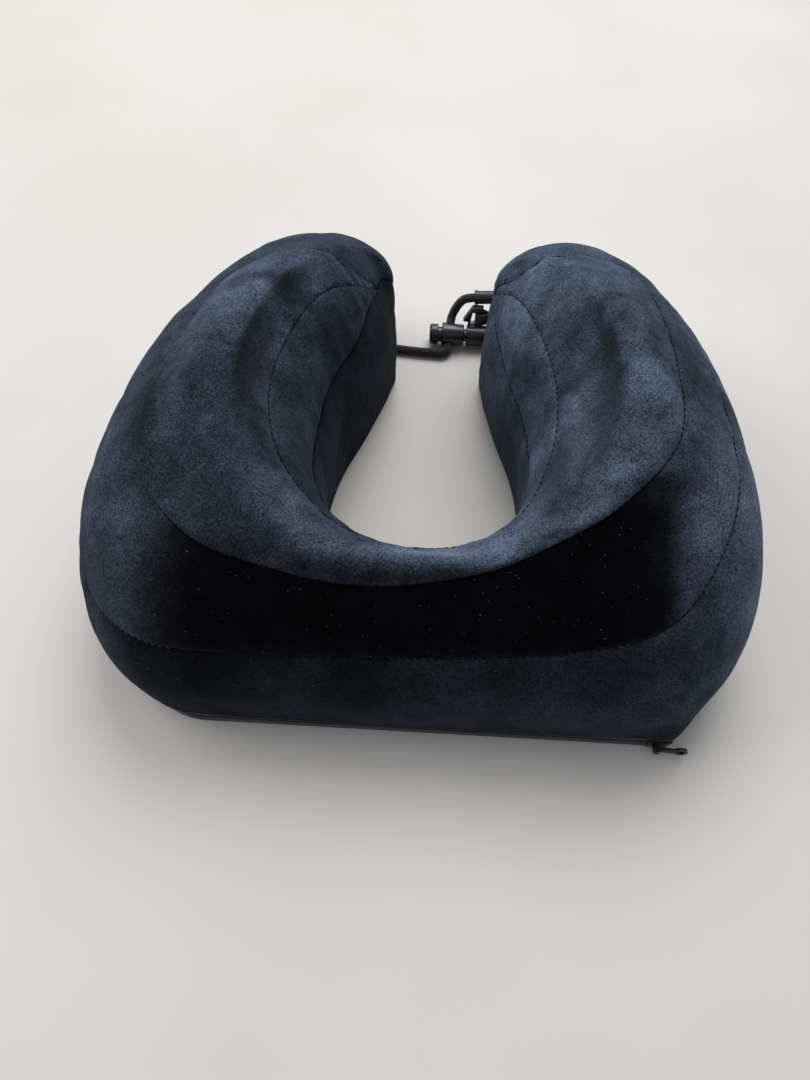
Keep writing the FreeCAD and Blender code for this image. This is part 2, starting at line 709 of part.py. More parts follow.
def add_lock_barrel():
    body = add_body("lock_barrel")
    length, end = "Sizes.lock_length", "Sizes.lock_length + Sizes.plug_length"
    shell = revolve(body, "barrel_shell", [
        ("0", "Sizes.lock_bore_radius"), ("0", "Sizes.lock_big_radius"),
        (length, "Sizes.lock_small_radius"), (length, "Sizes.plug_radius"),
        (end + " - %s" % PLUG_CHAMFER, "Sizes.plug_radius"),
        (end, "Sizes.plug_radius - %s" % PLUG_CHAMFER), (end, "0"),
        (BORE_DEPTH, "0"), (BORE_DEPTH, "Sizes.lock_bore_radius")])
    round_rims(body, "barrel_rims", shell, RIM_ROUND,
               [("0", "Sizes.lock_big_radius"), (length, "Sizes.lock_small_radius")])
    cord_hole(body, "barrel_cord_hole", "Sizes.lock_hole_station")
    seat_on_lock_axis(body, turned=True)


def add_lock_plunger():
    """Knob and stem; the stem's slot holds the cord and clears it through the travel."""
    body = add_body("lock_plunger")
    gap = "-Sizes.knob_travel - %s" % KNOB_GAP
    slot_end = "Sizes.lock_hole_station + %s" % HOLE_RADIUS
    slot_start = "Sizes.lock_hole_station - (%s) - Sizes.knob_travel" % HOLE_RADIUS
    stem_end = "%s + %s" % (slot_end, STEM_WEB)
    knob_end = "%s - Sizes.knob_length" % gap
    dome = "%s + %s" % (knob_end, KNOB_DOME)
    knob = revolve(body, "knob_and_stem", [
        (knob_end, "0"), (knob_end, "Sizes.knob_radius - %s" % KNOB_TAPER),
        (dome, "Sizes.knob_radius"), (gap, "Sizes.knob_radius"), (gap, STEM_RADIUS),
        (stem_end, STEM_RADIUS), (stem_end, "0")])
    round_rims(body, "knob_rims", knob, KNOB_ROUND,
               [(dome, "Sizes.knob_radius"), (gap, "Sizes.knob_radius")])
    slot = polygon_sketch(body, "stem_slot_outline", "XZ_Plane", [
        (slot_start, "-(%s)" % HOLE_RADIUS), (slot_end, "-(%s)" % HOLE_RADIUS),
        (slot_end, HOLE_RADIUS), (slot_start, HOLE_RADIUS)])
    cut_through(body, "stem_slot", slot)
    seat_on_lock_axis(body, turned=True)


def add_lock_spring():
    """The coil between the stem's end and the barrel's end wall."""
    wire = size("spring_wire")
    start = value_of("Sizes.lock_hole_station + %s" % HOLE_RADIUS) + STEM_WEB
    room = value_of(BORE_DEPTH) - start
    radius = value_of(STEM_RADIUS) - wire
    first = start + wire / 2 + SPRING_PLAY
    height = room - wire - 2 * SPRING_PLAY
    points = []
    for i in range(SPRING_POINTS + 1):
        share = i / SPRING_POINTS
        turn = math.tau * size("spring_turns") * share
        points.append(Vector(first + height * share, radius * math.sin(turn),
                             radius * math.cos(turn)))
    path = Part.BSplineCurve()
    path.interpolate(Points=points)
    heading = path.tangent(path.FirstParameter)[0]
    section = Part.Wire(Part.makeCircle(wire / 2, points[0], heading))
    coil = Part.Wire(path.toShape()).makePipeShell([section], True, False)
    add_shape("lock_spring", coil, LOCK_AT)


LOOP_FOOT = 1.0                         # loop's foot above the socket's axis, inside its wall
LOOP_SET_IN = 0.6                       # loop's left edge inside the socket's face
LOOP_TOP_SLANT = 2.6
LOOP_CHIN = 0.4                         # slanted underside of the shoulder
SLOT_SLANT = 1.2
SLOT_OVERRUN = 0.5                      # slot's cut beyond each face of the loop
PLUG_END_PLAY = 0.6
WEB_PLAY = 0.3                          # webbing's edges to the ends of the slot
WEB_SEAT_STATION = LAST - 0.7           # where the webbing meets the right tip
WEB_SEAT_GAP = 0.6


def add_socket():
    """A blind bore for the plug, with a webbing loop standing on its back."""
    body = add_body("clasp_socket")
    reach = "Sizes.plug_length - Sizes.socket_gap + %s" % PLUG_END_PLAY
    bore = "Sizes.plug_radius + Sizes.plug_clearance"
    shell = revolve(body, "socket_shell", [
        ("0", bore), ("0", "Sizes.socket_radius"),
        ("Sizes.socket_length", "Sizes.socket_radius"), ("Sizes.socket_length", "0"),
        (reach, "0"), (reach, bore)])
    round_rims(body, "socket_rims", shell, RIM_ROUND,
               [("0", "Sizes.socket_radius"), ("Sizes.socket_length", "Sizes.socket_radius")])
    plate = polygon_sketch(body, "loop_outline", "XZ_Plane", [
        (str(LOOP_SET_IN), str(LOOP_FOOT)), ("Sizes.loop_width", str(LOOP_FOOT)),
        ("Sizes.loop_width", "Sizes.loop_height"), (str(LOOP_TOP_SLANT), "Sizes.loop_height"),
        ("-Sizes.loop_lead", "Sizes.loop_shoulder"),
        (str(LOOP_SET_IN), "Sizes.loop_shoulder - %s" % LOOP_CHIN)])
    plate.setExpression("AttachmentOffset.Base.z", "-Sizes.loop_set_back")
    pad = body.newObject("PartDesign::Pad", "loop_plate")
    pad.Profile = plate
    pad.Reversed = True
    pad.setExpression("Length", "Sizes.loop_thickness")
    bar = "Sizes.loop_width - Sizes.loop_bar"
    slot = polygon_sketch(body, "loop_slot_outline", "XZ_Plane", [
        (bar + " - Sizes.loop_slot_width", "Sizes.loop_slot_low"), (bar, "Sizes.loop_slot_low"),
        (bar, "Sizes.loop_slot_high"),
        (bar + " - Sizes.loop_slot_width + %s" % SLOT_SLANT, "Sizes.loop_slot_high")])
    slot.setExpression("AttachmentOffset.Base.z", "-Sizes.loop_set_back + %s" % SLOT_OVERRUN)
    DOC.recompute()
    before = body.Shape.Volume
    pocket = body.newObject("PartDesign::Pocket", "loop_slot")
    pocket.Profile = slot
    pocket.Reversed = False
    pocket.setExpression("Length", "Sizes.loop_thickness + 2 * %s" % SLOT_OVERRUN)
    DOC.recompute()
    if body.Shape.Volume >= before:
        raise RuntimeError("loop_slot cuts nothing")
    seat_on_lock_axis(body, size("lock_length") + size("socket_gap"))


def add_clasp_web():
    """Webbing folded round the loop's bar and run back to the right tip's corner seam."""
    clear, thick = size("web_clearance"), size("web_thickness")
    socket = LOCK_AT + Vector(size("lock_length") + size("socket_gap"), 0, 0)
    front = socket.y + size("loop_set_back")
    back = front + size("loop_thickness")
    bar_left = socket.x + size("loop_width") - size("loop_bar")
    bar_right = socket.x + size("loop_width")
    low = LOCK_AT.z + size("loop_slot_low") + WEB_PLAY
    high = LOCK_AT.z + size("loop_slot_high") - WEB_PLAY
    middle = (front + back) / 2

    def block(x0, y0, x1, y1):
        return Part.makeBox(x1 - x0, y1 - y0, high - low, Vector(x0, y0, low))

    fold = block(bar_left - clear - thick, front - clear - thick,
                 bar_right + clear + thick, back + clear + thick)
    fold = fold.cut(block(bar_left - clear, front - clear, bar_right + clear, back + clear))
    place = place_at_height(WEB_SEAT_STATION, (low + high) / 2)
    outward = surface_normal(WEB_SEAT_STATION, place)
    seat = surface_point(WEB_SEAT_STATION, place) + outward * WEB_SEAT_GAP
    start = Vector(bar_right + clear + thick / 2, middle, low)
    seat.z = low
    run = seat - start
    side = Vector(-run.y, run.x, 0).normalize() * thick
    tail = Part.Face(Part.makePolygon([start + side, seat + side, seat - side, start - side,
                                       start + side]))
    tail = tail.extrude(Vector(0, 0, high - low))
    add_shape("clasp_web", fold.fuse(tail).removeSplitter())


add_lock_barrel()
add_lock_plunger()
add_lock_spring()
add_socket()
add_clasp_web()


# ---------------------------------------------------------------- cord and its end cap
# From the left tip along the table, up through the lock and over to the cap; the points are
# offsets from the middle of the mouth.
CORD_ROUTE = [
    (-28.7, 12.5, 2.6), (-23.5, 11.6, 2.6), (-16.6, 11.0, 2.6), (-10.0, 10.3, 2.6),
    (-3.6, 10.1, 2.7), (1.7, 9.4, 2.8), (5.2, 12.6, 3.95), (5.2, 29.4, 10.05),
    (7.0, 32.2, 14.6), (9.8, 33.2, 20.0), (13.4, 32.4, 24.5), (20.2, 31.9, 25.4),
]


def tube_along(points, radius):
    """Straight runs joined by the largest arcs that 0.45 of the shorter run allows."""
    edges, start, radii = [], points[0], []
    for before, corner, after in zip(points, points[1:], points[2:]):
        run_in, run_out = corner - before, after - corner
        turn = run_in.getAngle(run_out)
        trim = 0.45 * min(run_in.Length, run_out.Length)
        radii.append(trim / math.tan(turn / 2))
        enter = corner - Vector(run_in).normalize() * trim
        leave = corner + Vector(run_out).normalize() * trim
        inward = (Vector(run_out).normalize() - Vector(run_in).normalize()).normalize()
        centre = corner + inward * (radii[-1] / math.cos(turn / 2))
        middle = centre - inward * radii[-1]
        edges += [Part.LineSegment(start, enter).toShape(),
                  Part.Arc(enter, middle, leave).toShape()]
        start = leave
    edges.append(Part.LineSegment(start, points[-1]).toShape())
    path = Part.Wire(edges)
    section = Part.Wire(Part.makeCircle(radius, points[0], points[1] - points[0]))
    tube = path.makePipeShell([section], True, False)
    print("cord: length %.1f mm, radii %s" % (path.Length, [round(r, 1) for r in radii]))
    print("cord: volume over section times length %.4f"
          % (tube.Volume / (math.pi * radius ** 2 * path.Length)))
    return tube


CAP_STEP = 0.35                         # rim above the rest of the cap
CAP_ROUND = 0.3
CAP_PLAY = 0.1                          # recess round the cord


def add_end_cap():
    """A moulded cap with a rim; the cord ends in its shallow recess."""
    body = add_body("cord_end_cap")
    recess = "Sizes.cord_diameter / 2 + %s" % CAP_PLAY
    barrel = "Sizes.cap_radius - %s" % CAP_STEP
    shell = revolve(body, "cap_shell", [
        ("0", recess), ("0", "Sizes.cap_radius"), ("Sizes.cap_rim", "Sizes.cap_radius"),
        ("Sizes.cap_rim", barrel), ("Sizes.cap_length", barrel), ("Sizes.cap_length", "0"),
        ("Sizes.cap_recess", "0"), ("Sizes.cap_recess", recess)])
    round_rims(body, "cap_rims", shell, CAP_ROUND,
               [("0", "Sizes.cap_radius"), ("Sizes.cap_length", barrel)])
    before, end = Vector(*CORD_ROUTE[-2]), Vector(*CORD_ROUTE[-1])
    run = (end - before).normalize()
    seat = MOUTH + end - run * size("cap_recess")
    body.Placement = Placement(ORIGIN_SHIFT + seat, Rotation(Vector(1, 0, 0), run))


add_shape("cord", tube_along([MOUTH + Vector(*p) for p in CORD_ROUTE],
                             size("cord_diameter") / 2))
add_end_cap()


# ---------------------------------------------------------------- check and write
def export_parts():
    DOC.recompute()
    for feature in DOC.Objects:
        if "Invalid" in feature.State or "Error" in feature.State:
            raise RuntimeError("%s: %s" % (feature.Label, feature.State))
    for part in PARTS:
        if part.Shape.isNull() or not part.Shape.isValid():
            raise RuntimeError(part.Label + " has no valid shape")
    os.makedirs("parts", exist_ok=True)
    for part in PARTS:
        part.Shape.exportStep(os.path.join("parts", part.Label + ".step"))
        box = part.Shape.BoundBox
        print("%-14s solids %d  volume %9.1f  x %7.1f %7.1f  y %7.1f %7.1f  z %6.1f %6.1f" % (
            part.Label, len(part.Shape.Solids), part.Shape.Volume, box.XMin, box.XMax,
            box.YMin, box.YMax, box.ZMin, box.ZMax))


export_parts()
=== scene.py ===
"""U-shaped travel neck pillow: the looks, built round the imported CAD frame.

Lengths in the tables are millimetres and become metres where a mesh is made. The cover's panels
are strips of one body surface between sewn seams; each is puffed by a cloth simulation, tucked
in at its seams and stitched.
"""
import math

import bpy
import numpy as np
from mathutils import Matrix, Vector, noise


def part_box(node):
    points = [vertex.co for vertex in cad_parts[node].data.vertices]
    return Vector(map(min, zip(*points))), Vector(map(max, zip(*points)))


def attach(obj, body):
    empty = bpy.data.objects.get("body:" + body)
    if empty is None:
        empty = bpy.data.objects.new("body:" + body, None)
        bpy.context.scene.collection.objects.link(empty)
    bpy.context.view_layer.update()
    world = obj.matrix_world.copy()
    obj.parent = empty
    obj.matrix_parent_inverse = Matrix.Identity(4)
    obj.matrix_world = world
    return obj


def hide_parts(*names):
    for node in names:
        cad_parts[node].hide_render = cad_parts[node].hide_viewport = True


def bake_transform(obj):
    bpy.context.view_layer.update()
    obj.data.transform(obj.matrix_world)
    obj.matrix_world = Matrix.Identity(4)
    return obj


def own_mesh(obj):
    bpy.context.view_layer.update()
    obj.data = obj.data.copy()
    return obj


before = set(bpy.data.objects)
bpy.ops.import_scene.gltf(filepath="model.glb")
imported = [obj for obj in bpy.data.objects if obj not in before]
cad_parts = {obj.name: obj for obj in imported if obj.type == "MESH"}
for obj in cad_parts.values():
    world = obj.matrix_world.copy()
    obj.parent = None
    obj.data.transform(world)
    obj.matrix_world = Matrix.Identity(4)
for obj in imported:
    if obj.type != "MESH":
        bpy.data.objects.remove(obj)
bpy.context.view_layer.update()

MM = 0.001
SCENE = bpy.context.scene

# ---------------------------------------------------------------- body surface (mm)
# One upright slice of the right half per row, from the outer edge of the base to its inner edge:
# outer x, y; inner x, y; heights of outer shoulder, crest, inner shoulder;
# distances in from the edges of outer shoulder, crest and inner shoulder.
STATIONS = np.array([
    (0, 0, 0, 58, 79, 86, 76, 23, 32, 17),
    (35, 0, 17, 59.5, 80.5, 88, 78, 24, 33, 17),
    (70, 0, 31, 65.5, 84, 93, 85, 32, 44, 19),
    (101, 3, 40, 75, 91, 101, 92, 42, 58, 20),
    (124, 21, 45, 86, 98, 109, 97, 46, 66, 21),
    (137, 53, 47.5, 99, 104, 115, 101, 40, 66, 22),
    (138, 90, 47, 116, 106, 118, 104, 36, 64, 23),
    (134, 126, 43, 137, 105, 117.5, 106, 35, 62, 22),
    (127, 160, 36, 158, 101.5, 112, 105, 35, 60, 22),
    (116, 192, 31, 175, 96.5, 103, 99, 35, 57, 20),
    (100, 220, 27.5, 188, 91, 94, 90, 36, 55, 17),
    (79, 240, 26, 196, 83.5, 84.5, 81, 36, 52, 13),
    (57, 247, 25, 201, 74.5, 76, 74, 31, 43, 9),
    (39, 240, 24.5, 205, 66, 68, 67, 20, 27, 6),
    (26.5, 215, 26, 213.5, 57, 58, 57, 0.5, 0.8, 0.4),
])
LAST = len(STATIONS) - 1
DEPTH = 247.0
ARM_LEAN = 8.0
SIDE_BULGE = 3.0
CENTRE_X, BAND_STANDS_BACK = -0.6, 3.5      # the band stands out behind the base's edge
ORIGIN = np.array([CENTRE_X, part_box("base_band")[0].y / MM + BAND_STANDS_BACK, 0.0])

# Seams: (station, place on the slice), the slice running from 0 at the outer base edge over the
# crest, at 6, to 11 at the inner base edge.
SEAM_BAND = [(-14, 3.1), (-10, 2.9), (-7, 2.6), (-4.6, 2.5), (-3, 2.8), (-1, 3.1), (1, 3.35),
             (3, 3.65), (5, 4.0), (7, 4.0), (10, 3.7), (14, 3.2)]
SEAM_TOP = [(-14, 7.0), (-11.5, 7.5), (-10.2, 7.8), (-9.4, 7.3), (-8.9, 6.3), (-8.3, 5.35),
            (-7, 5.05), (-5.4, 4.75), (-4, 4.6), (-2, 4.9), (0, 5.1), (1.5, 5.7), (2.5, 5.8),
            (4, 5.45), (6, 5.25), (8, 4.95), (9, 5.2), (9.6, 6.3), (10.2, 7.3), (11, 7.6),
            (12.5, 7.55), (14, 7.3)]
SEAM_NECK = [(-10.4, 7.95), (-9.4, 7.78), (-8.2, 7.5), (-7, 7.42), (-5, 7.38), (-3.2, 7.38),
             (-2, 7.6), (0, 7.7), (2, 8.0), (4, 8.2), (6, 8.05), (8, 7.95), (10, 7.9),
             (12.6, 7.75)]
SEAM_THROAT = [(-14, 7.15), (-12, 7.5), (-11, 7.75), (-10.2, 8.0), (-9.4, 8.2), (-8.4, 8.5),
               (-7, 8.58), (-5.5, 8.7), (-4.2, 8.6), (-2, 8.6), (0, 8.7), (2, 8.9), (4, 9.1),
               (6, 9.1), (8, 9.0), (9.2, 8.8), (10.6, 8.5), (12, 8.1), (13, 7.85), (14, 7.6)]


def spline_bends(knots, values):
    """Second derivatives of the smooth curve through values (first axis) at the knots."""
    knots = np.asarray(knots, float)
    count, gap = len(knots), np.diff(knots)
    system = np.zeros((count, count))
    known = np.zeros_like(values, dtype=float)
    shape = (-1,) + (1,) * (values.ndim - 1)
    slope = np.diff(values, axis=0) / gap.reshape(shape)
    for i in range(1, count - 1):
        system[i, i - 1:i + 2] = gap[i - 1], 2 * (gap[i - 1] + gap[i]), gap[i]
        known[i] = 6 * (slope[i] - slope[i - 1])
    system[0, :3] = gap[1], -gap[0] - gap[1], gap[0]
    system[-1, -3:] = gap[-1], -gap[-1] - gap[-2], gap[-2]
    return np.linalg.solve(system, known.reshape(count, -1)).reshape(values.shape)


def spline_at(knots, values, bends, at):
    """The curve's values at an array of parameters."""
    knots = np.asarray(knots, float)
    at = np.clip(at, knots[0], knots[-1])
    i = np.clip(np.searchsorted(knots, at, side="right") - 1, 0, len(knots) - 2)
    gap = knots[i + 1] - knots[i]
    b = (at - knots[i]) / gap
    shape = (-1,) + (1,) * (values.ndim - 1)
    a, b, gap = (1 - b).reshape(shape), b.reshape(shape), gap.reshape(shape)
    return (a * values[i] + b * values[i + 1]
            + ((a ** 3 - a) * bends[i] + (b ** 3 - b) * bends[i + 1]) * gap ** 2 / 6)


def seam(table):
    """A seam's place on the slice as a function of the station."""
    stations = np.array([s for s, _ in table], float)
    places = np.array([p for _, p in table], float)
    bends = spline_bends(stations, places)
    return lambda at: spline_at(stations, places, bends, np.asarray(at, float))


def slice_points(row):
    """The twelve shaping points of one slice of the right half."""
    z_out, z_crest, z_in, r_out, r_crest, r_in = row[4:]
    outer, inner = np.array([*row[0:2], 0.0]), np.array([*row[2:4], 0.0])
    width = np.linalg.norm(inner - outer)
    across = (inner - outer) / width
    bulge = min(SIDE_BULGE, 0.08 * width)
    outline = [
        (0, 0), (-0.8 * bulge, 0.20 * z_out), (-bulge, 0.42 * z_out),
        (0.14 * r_out, 0.68 * z_out), (0.50 * r_out, 0.87 * z_out), (r_out, z_out),
        (r_crest, z_crest), (width - r_in, z_in), (width - 0.35 * r_in, 0.80 * z_in),
        (width + 0.3 * bulge, 0.50 * z_in), (width + 0.5 * bulge, 0.22 * z_in), (width, 0),
    ]
    return [outer + across * a + np.array([0, 0, z]) for a, z in outline]


def body_net():
    """All slices' shaping points, the left half mirrored, with the arms leaning a little."""
    right = np.array([slice_points(row) for row in STATIONS])
    left = right[:0:-1].copy()
    left[:, :, 0] *= -1
    net = np.concatenate([left, right])
    net[:, :, 0] += ARM_LEAN * (net[:, :, 1] / DEPTH) ** 2
    return net + ORIGIN


NET = body_net()
NET_STATIONS = np.arange(-LAST, LAST + 1)
NET_BENDS = spline_bends(NET_STATIONS, NET)
PLACES = np.arange(NET.shape[1])


def surface(stations, places):
    """Points (mm) of the body surface; places is a grid with a row for each station."""
    rails = spline_at(NET_STATIONS, NET, NET_BENDS, stations)
    across = np.swapaxes(rails, 0, 1)
    bends = np.swapaxes(spline_bends(PLACES, across), 0, 1)
    k = np.clip(np.floor(places).astype(int), 0, len(PLACES) - 2)
    b = (places - k)[..., None]
    a = 1 - b
    column = np.arange(len(stations))[:, None]
    return (a * rails[column, k] + b * rails[column, k + 1]
            + ((a ** 3 - a) * bends[column, k] + (b ** 3 - b) * bends[column, k + 1]) / 6)


def surface_normals(stations, places):
    """Outward unit normals of the body surface on the same grid."""
    step = 0.03
    low_s, high_s = np.maximum(stations - step, -LAST), np.minimum(stations + step, LAST)
    low_p, high_p = np.maximum(places - step, 0), np.minimum(places + step, PLACES[-1])
    along = surface(high_s, places) - surface(low_s, places)
    across = surface(stations, high_p) - surface(stations, low_p)
    normal = np.cross(along, across)
    length = np.linalg.norm(normal, axis=-1, keepdims=True)
    return normal / np.maximum(length, 1e-9)


# ---------------------------------------------------------------- mesh and node helpers
def new_object(name, data, body=None):
    """An object in the scene, which moves with a body of the frame when one is named."""
    item = bpy.data.objects.new(name, data)
    SCENE.collection.objects.link(item)
    if body:
        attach(item, body)
    return item


def grid_mesh(name, points, closed=False):
    """A quad grid from points[i][j] in millimetres."""
    rows, columns = points.shape[:2]
    index = np.arange(rows * columns).reshape(rows, columns)
    a, b = index[:-1, :-1], index[1:, :-1]
    c, d = index[1:, 1:], index[:-1, 1:]
    faces = np.stack([a, b, c, d], -1).reshape(-1, 4)
    if closed:
        wrap = np.stack([index[:-1, -1], index[1:, -1], index[1:, 0], index[:-1, 0]], -1)
        faces = np.concatenate([faces, wrap.reshape(-1, 4)])
    mesh = bpy.data.meshes.new(name)
    mesh.from_pydata((points.reshape(-1, 3) * MM).tolist(), [], faces.tolist())
    mesh.shade_smooth()
    return mesh


class Nodes:
    """Short calls to build one material's node tree."""

    def __init__(self, name):
        self.material = bpy.data.materials.new(name)
        self.material.use_nodes = True
        self.tree = self.material.node_tree
        self.shader = self.tree.nodes["Principled BSDF"]

    def add(self, kind, **settings):
        node = self.tree.nodes.new(kind)
        for key, value in settings.items():
            if key in node.inputs:
                node.inputs[key].default_value = value
            else:
                setattr(node, key, value)
        return node

    def link(self, output, node, socket):
        self.tree.links.new(output, node.inputs[socket])

    def position(self):
        """Places on the object, so that a pattern is as large as it is on the real piece."""
        return self.add("ShaderNodeTexCoord").outputs["Object"]

    def noise(self, scale, detail=3.0, roughness=0.5, distortion=0.0, at=None):
        node = self.add("ShaderNodeTexNoise", Scale=scale, Detail=detail, Roughness=roughness,
                        Distortion=distortion)
        self.link(at or self.position(), node, "Vector")
        return node.outputs["Fac"]

    def ramp(self, value, stops):
        node = self.add("ShaderNodeValToRGB")
        self.link(value, node, "Fac")
        elements = node.color_ramp.elements
        while len(elements) < len(stops):
            elements.new(0.5)
        for element, (place, colour) in zip(elements, stops):
            element.position = place
            element.color = (*colour, 1) if len(colour) == 3 else colour
        return node.outputs["Color"]

    def math(self, kind, a, b):
        node = self.add("ShaderNodeMath", operation=kind)
        for socket, value in ((0, a), (1, b)):
            if isinstance(value, (int, float)):
                node.inputs[socket].default_value = value
            else:
                self.link(value, node, socket)
        return node.outputs[0]

    def mix(self, share, a, b, kind="MIX"):
        node = self.add("ShaderNodeMix", data_type="RGBA", blend_type=kind)
        for socket, value in ((0, share), (6, a), (7, b)):
            if isinstance(value, (int, float)):
                node.inputs[socket].default_value = value
            elif isinstance(value, tuple):
                node.inputs[socket].default_value = (*value, 1)
            else:
                self.tree.links.new(value, node.inputs[socket])
        return node.outputs[2]

    def bump(self, height, distance, strength=1.0, normal=None):
        node = self.add("ShaderNodeBump", Distance=distance, Strength=strength)
        self.link(height, node, "Height")
        if normal is not None:
            self.link(normal, node, "Normal")
        return node.outputs["Normal"]

    def finish(self, colour, roughness, normal=None, **fixed):
        """Join the outputs to the shader, set its other values, and give the material."""
        for value, socket in ((colour, "Base Color"), (roughness, "Roughness"),
                              (normal, "Normal")):
            if isinstance(value, (int, float)):
                self.shader.inputs[socket].default_value = value
            elif value is not None:
                self.link(value, self.shader, socket)
        for socket, value in fixed.items():
            self.shader.inputs[socket.replace("_", " ")].default_value = value
        return self.material


# ---------------------------------------------------------------- materials
def velour():
    """Short black pile with a blue cast: painted light and shade, fibre grain and lint.

    The mesh's painted_light value: painted shade at 0, near black, up to a painted highlight at
    1.
    """
    n = Nodes("velour")
    painted_light = n.add("ShaderNodeAttribute", attribute_name="painted_light").outputs["Fac"]
    patches = n.noise(16, 4, 0.55, 0.6)
    clouds = n.noise(60, 5, 0.68, 0.4)
    grain = n.noise(1150, 2, 0.75)
    lint = n.noise(1500, 0, 0.0)
    # Painted light and shade: near black where the pile is painted in shade, up to a painted
    # highlight at the top stop.
    colour = n.ramp(painted_light, [(0.0, (0.0008, 0.0008, 0.0012)), (0.2, (0.0036, 0.0038, 0.0048)),
                          (0.45, (0.0118, 0.0138, 0.0178)), (0.7, (0.0240, 0.0305, 0.0425)),
                          (0.94, (0.0440, 0.0580, 0.0840)), (1.0, (0.0960, 0.1110, 0.1500))])
    # Each tone: a noise, its dark end and that end's share of light, its light end and share.
    tones = ((patches, 0.34, 0.50, 0.66, 1.50), (clouds, 0.34, 0.58, 0.68, 1.45),
             (grain, 0.30, 0.22, 0.70, 2.00))
    for value, start, dark, end, light in tones:
        tone = n.ramp(value, [(start, (dark,) * 3), (end, (light,) * 3)])
        colour = n.mix(1.0, colour, tone, "MULTIPLY")
    specks = n.ramp(lint, [(0.84, (0, 0, 0)), (0.87, (0.10, 0.10, 0.105))])
    colour = n.mix(1.0, colour, specks, "ADD")
    normal = n.bump(grain, 0.0006, 0.8)
    normal = n.bump(clouds, 0.003, 0.25, normal)
    return n.finish(colour, 0.95, normal, Sheen_Weight=0.09, Sheen_Roughness=0.42,
                    Sheen_Tint=(0.48, 0.57, 0.72, 1), Specular_IOR_Level=0.03)


def woven(name, colour, pitch):
    """Plain weave cloth: crossing threads in relief."""
    n = Nodes(name)
    at, scale = n.position(), 1 / pitch / math.tau
    warp = n.add("ShaderNodeTexWave", bands_direction="X", Scale=scale)
    weft = n.add("ShaderNodeTexWave", bands_direction="Y", Scale=scale)
    n.link(at, warp, "Vector")
    n.link(at, weft, "Vector")
    threads = n.math("MAXIMUM", warp.outputs["Fac"], weft.outputs["Fac"])
    # Painted shade: darker between the threads, in the weave's hollows, and darker still where a
    # noise says.
    dark = tuple(c * 0.45 for c in colour)
    shade = n.mix(n.noise(160, 3), n.ramp(threads, [(0.2, dark), (0.8, colour)]), dark)
    return n.finish(shade, 0.85, n.bump(threads, pitch * 0.4, 0.7), Sheen_Weight=0.2,
                    Sheen_Roughness=0.5)


def thread(name, colour):
    """Matt spun thread."""
    n = Nodes(name)
    ply = n.noise(2400, 3, 0.6)
    shade = n.ramp(ply, [(0.3, tuple(c * 0.6 for c in colour)), (0.7, colour)])
    return n.finish(shade, 0.95, n.bump(ply, 0.0001, 0.6), Specular_IOR_Level=0.1)


def foam():
    """Grey open-cell foam."""
    n = Nodes("foam")
    cells = n.noise(900, 4, 0.7)
    shade = n.ramp(cells, [(0.35, (0.09, 0.09, 0.095)), (0.65, (0.26, 0.26, 0.27))])
    return n.finish(shade, 0.95, n.bump(cells, 0.0006, 0.8))


def plastic(name, colour, roughness):
    """Moulded nylon: faint pebble, handling marks."""
    n = Nodes(name)
    marks = n.noise(220, 4, 0.65, 0.4)
    pebble = n.noise(3800, 2, 0.5)
    rough = n.ramp(marks, [(0.3, (roughness - 0.08,) * 3), (0.75, (roughness + 0.14,) * 3)])
    shade = n.mix(marks, colour, tuple(c * 1.8 for c in colour))
    return n.finish(shade, rough, n.bump(pebble, 0.00008, 0.5))


def enamel():
    """Black enamelled zip metal, worn to warm brown metal at its high spots."""
    n = Nodes("zip_enamel")
    wear = n.noise(900, 5, 0.7)
    shade = n.ramp(wear, [(0.55, (0.008, 0.008, 0.008)), (0.66, (0.055, 0.032, 0.022))])
    rough = n.ramp(wear, [(0.4, (0.28,) * 3), (0.7, (0.5,) * 3)])
    return n.finish(shade, rough, n.bump(wear, 0.0001, 0.4), Metallic=0.35)


def steel():
    """Bright drawn wire."""
    n = Nodes("spring_wire")
    drawn = n.noise(2600, 2)
    return n.finish(n.ramp(drawn, [(0.3, (0.42, 0.43, 0.45)), (0.7, (0.62, 0.63, 0.66))]), 0.3,
                    n.bump(drawn, 0.00004, 0.4), Metallic=1.0)


VELOUR = velour()
THREAD = thread("thread", (0.0020, 0.0020, 0.0026))
# A lighter copy of the thread: painted sheen on the left part of the band seam.
PAINTED_SHEEN_THREAD = thread("painted_sheen_thread", (0.060, 0.068, 0.082))
FOAM = foam()
BASE_CLOTH = woven("base_cloth", (0.016, 0.016, 0.019), 0.0009)
TAPE = woven("zip_tape", (0.010, 0.0105, 0.0125), 0.0006)
WEBBING = woven("webbing", (0.060, 0.063, 0.074), 0.0011)
BRAID = woven("cord_braid", (0.0055, 0.0055, 0.0065), 0.0006)
LOCK_PLASTIC = plastic("lock_plastic", (0.0045, 0.0045, 0.0050), 0.30)
COIL = plastic("zip_coil", (0.012, 0.010, 0.009), 0.42)
ENAMEL = enamel()
STEEL = steel()


def paint(node, material):
    """Give a carried-over CAD node its detailed material."""
    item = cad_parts[node]
    item.data.materials.clear()
    item.data.materials.append(material)


for node in ("lock_barrel", "lock_plunger", "clasp_socket", "cord_end_cap"):
    paint(node, LOCK_PLASTIC)
paint("zip_slider", ENAMEL)
paint("zip_pull", ENAMEL)


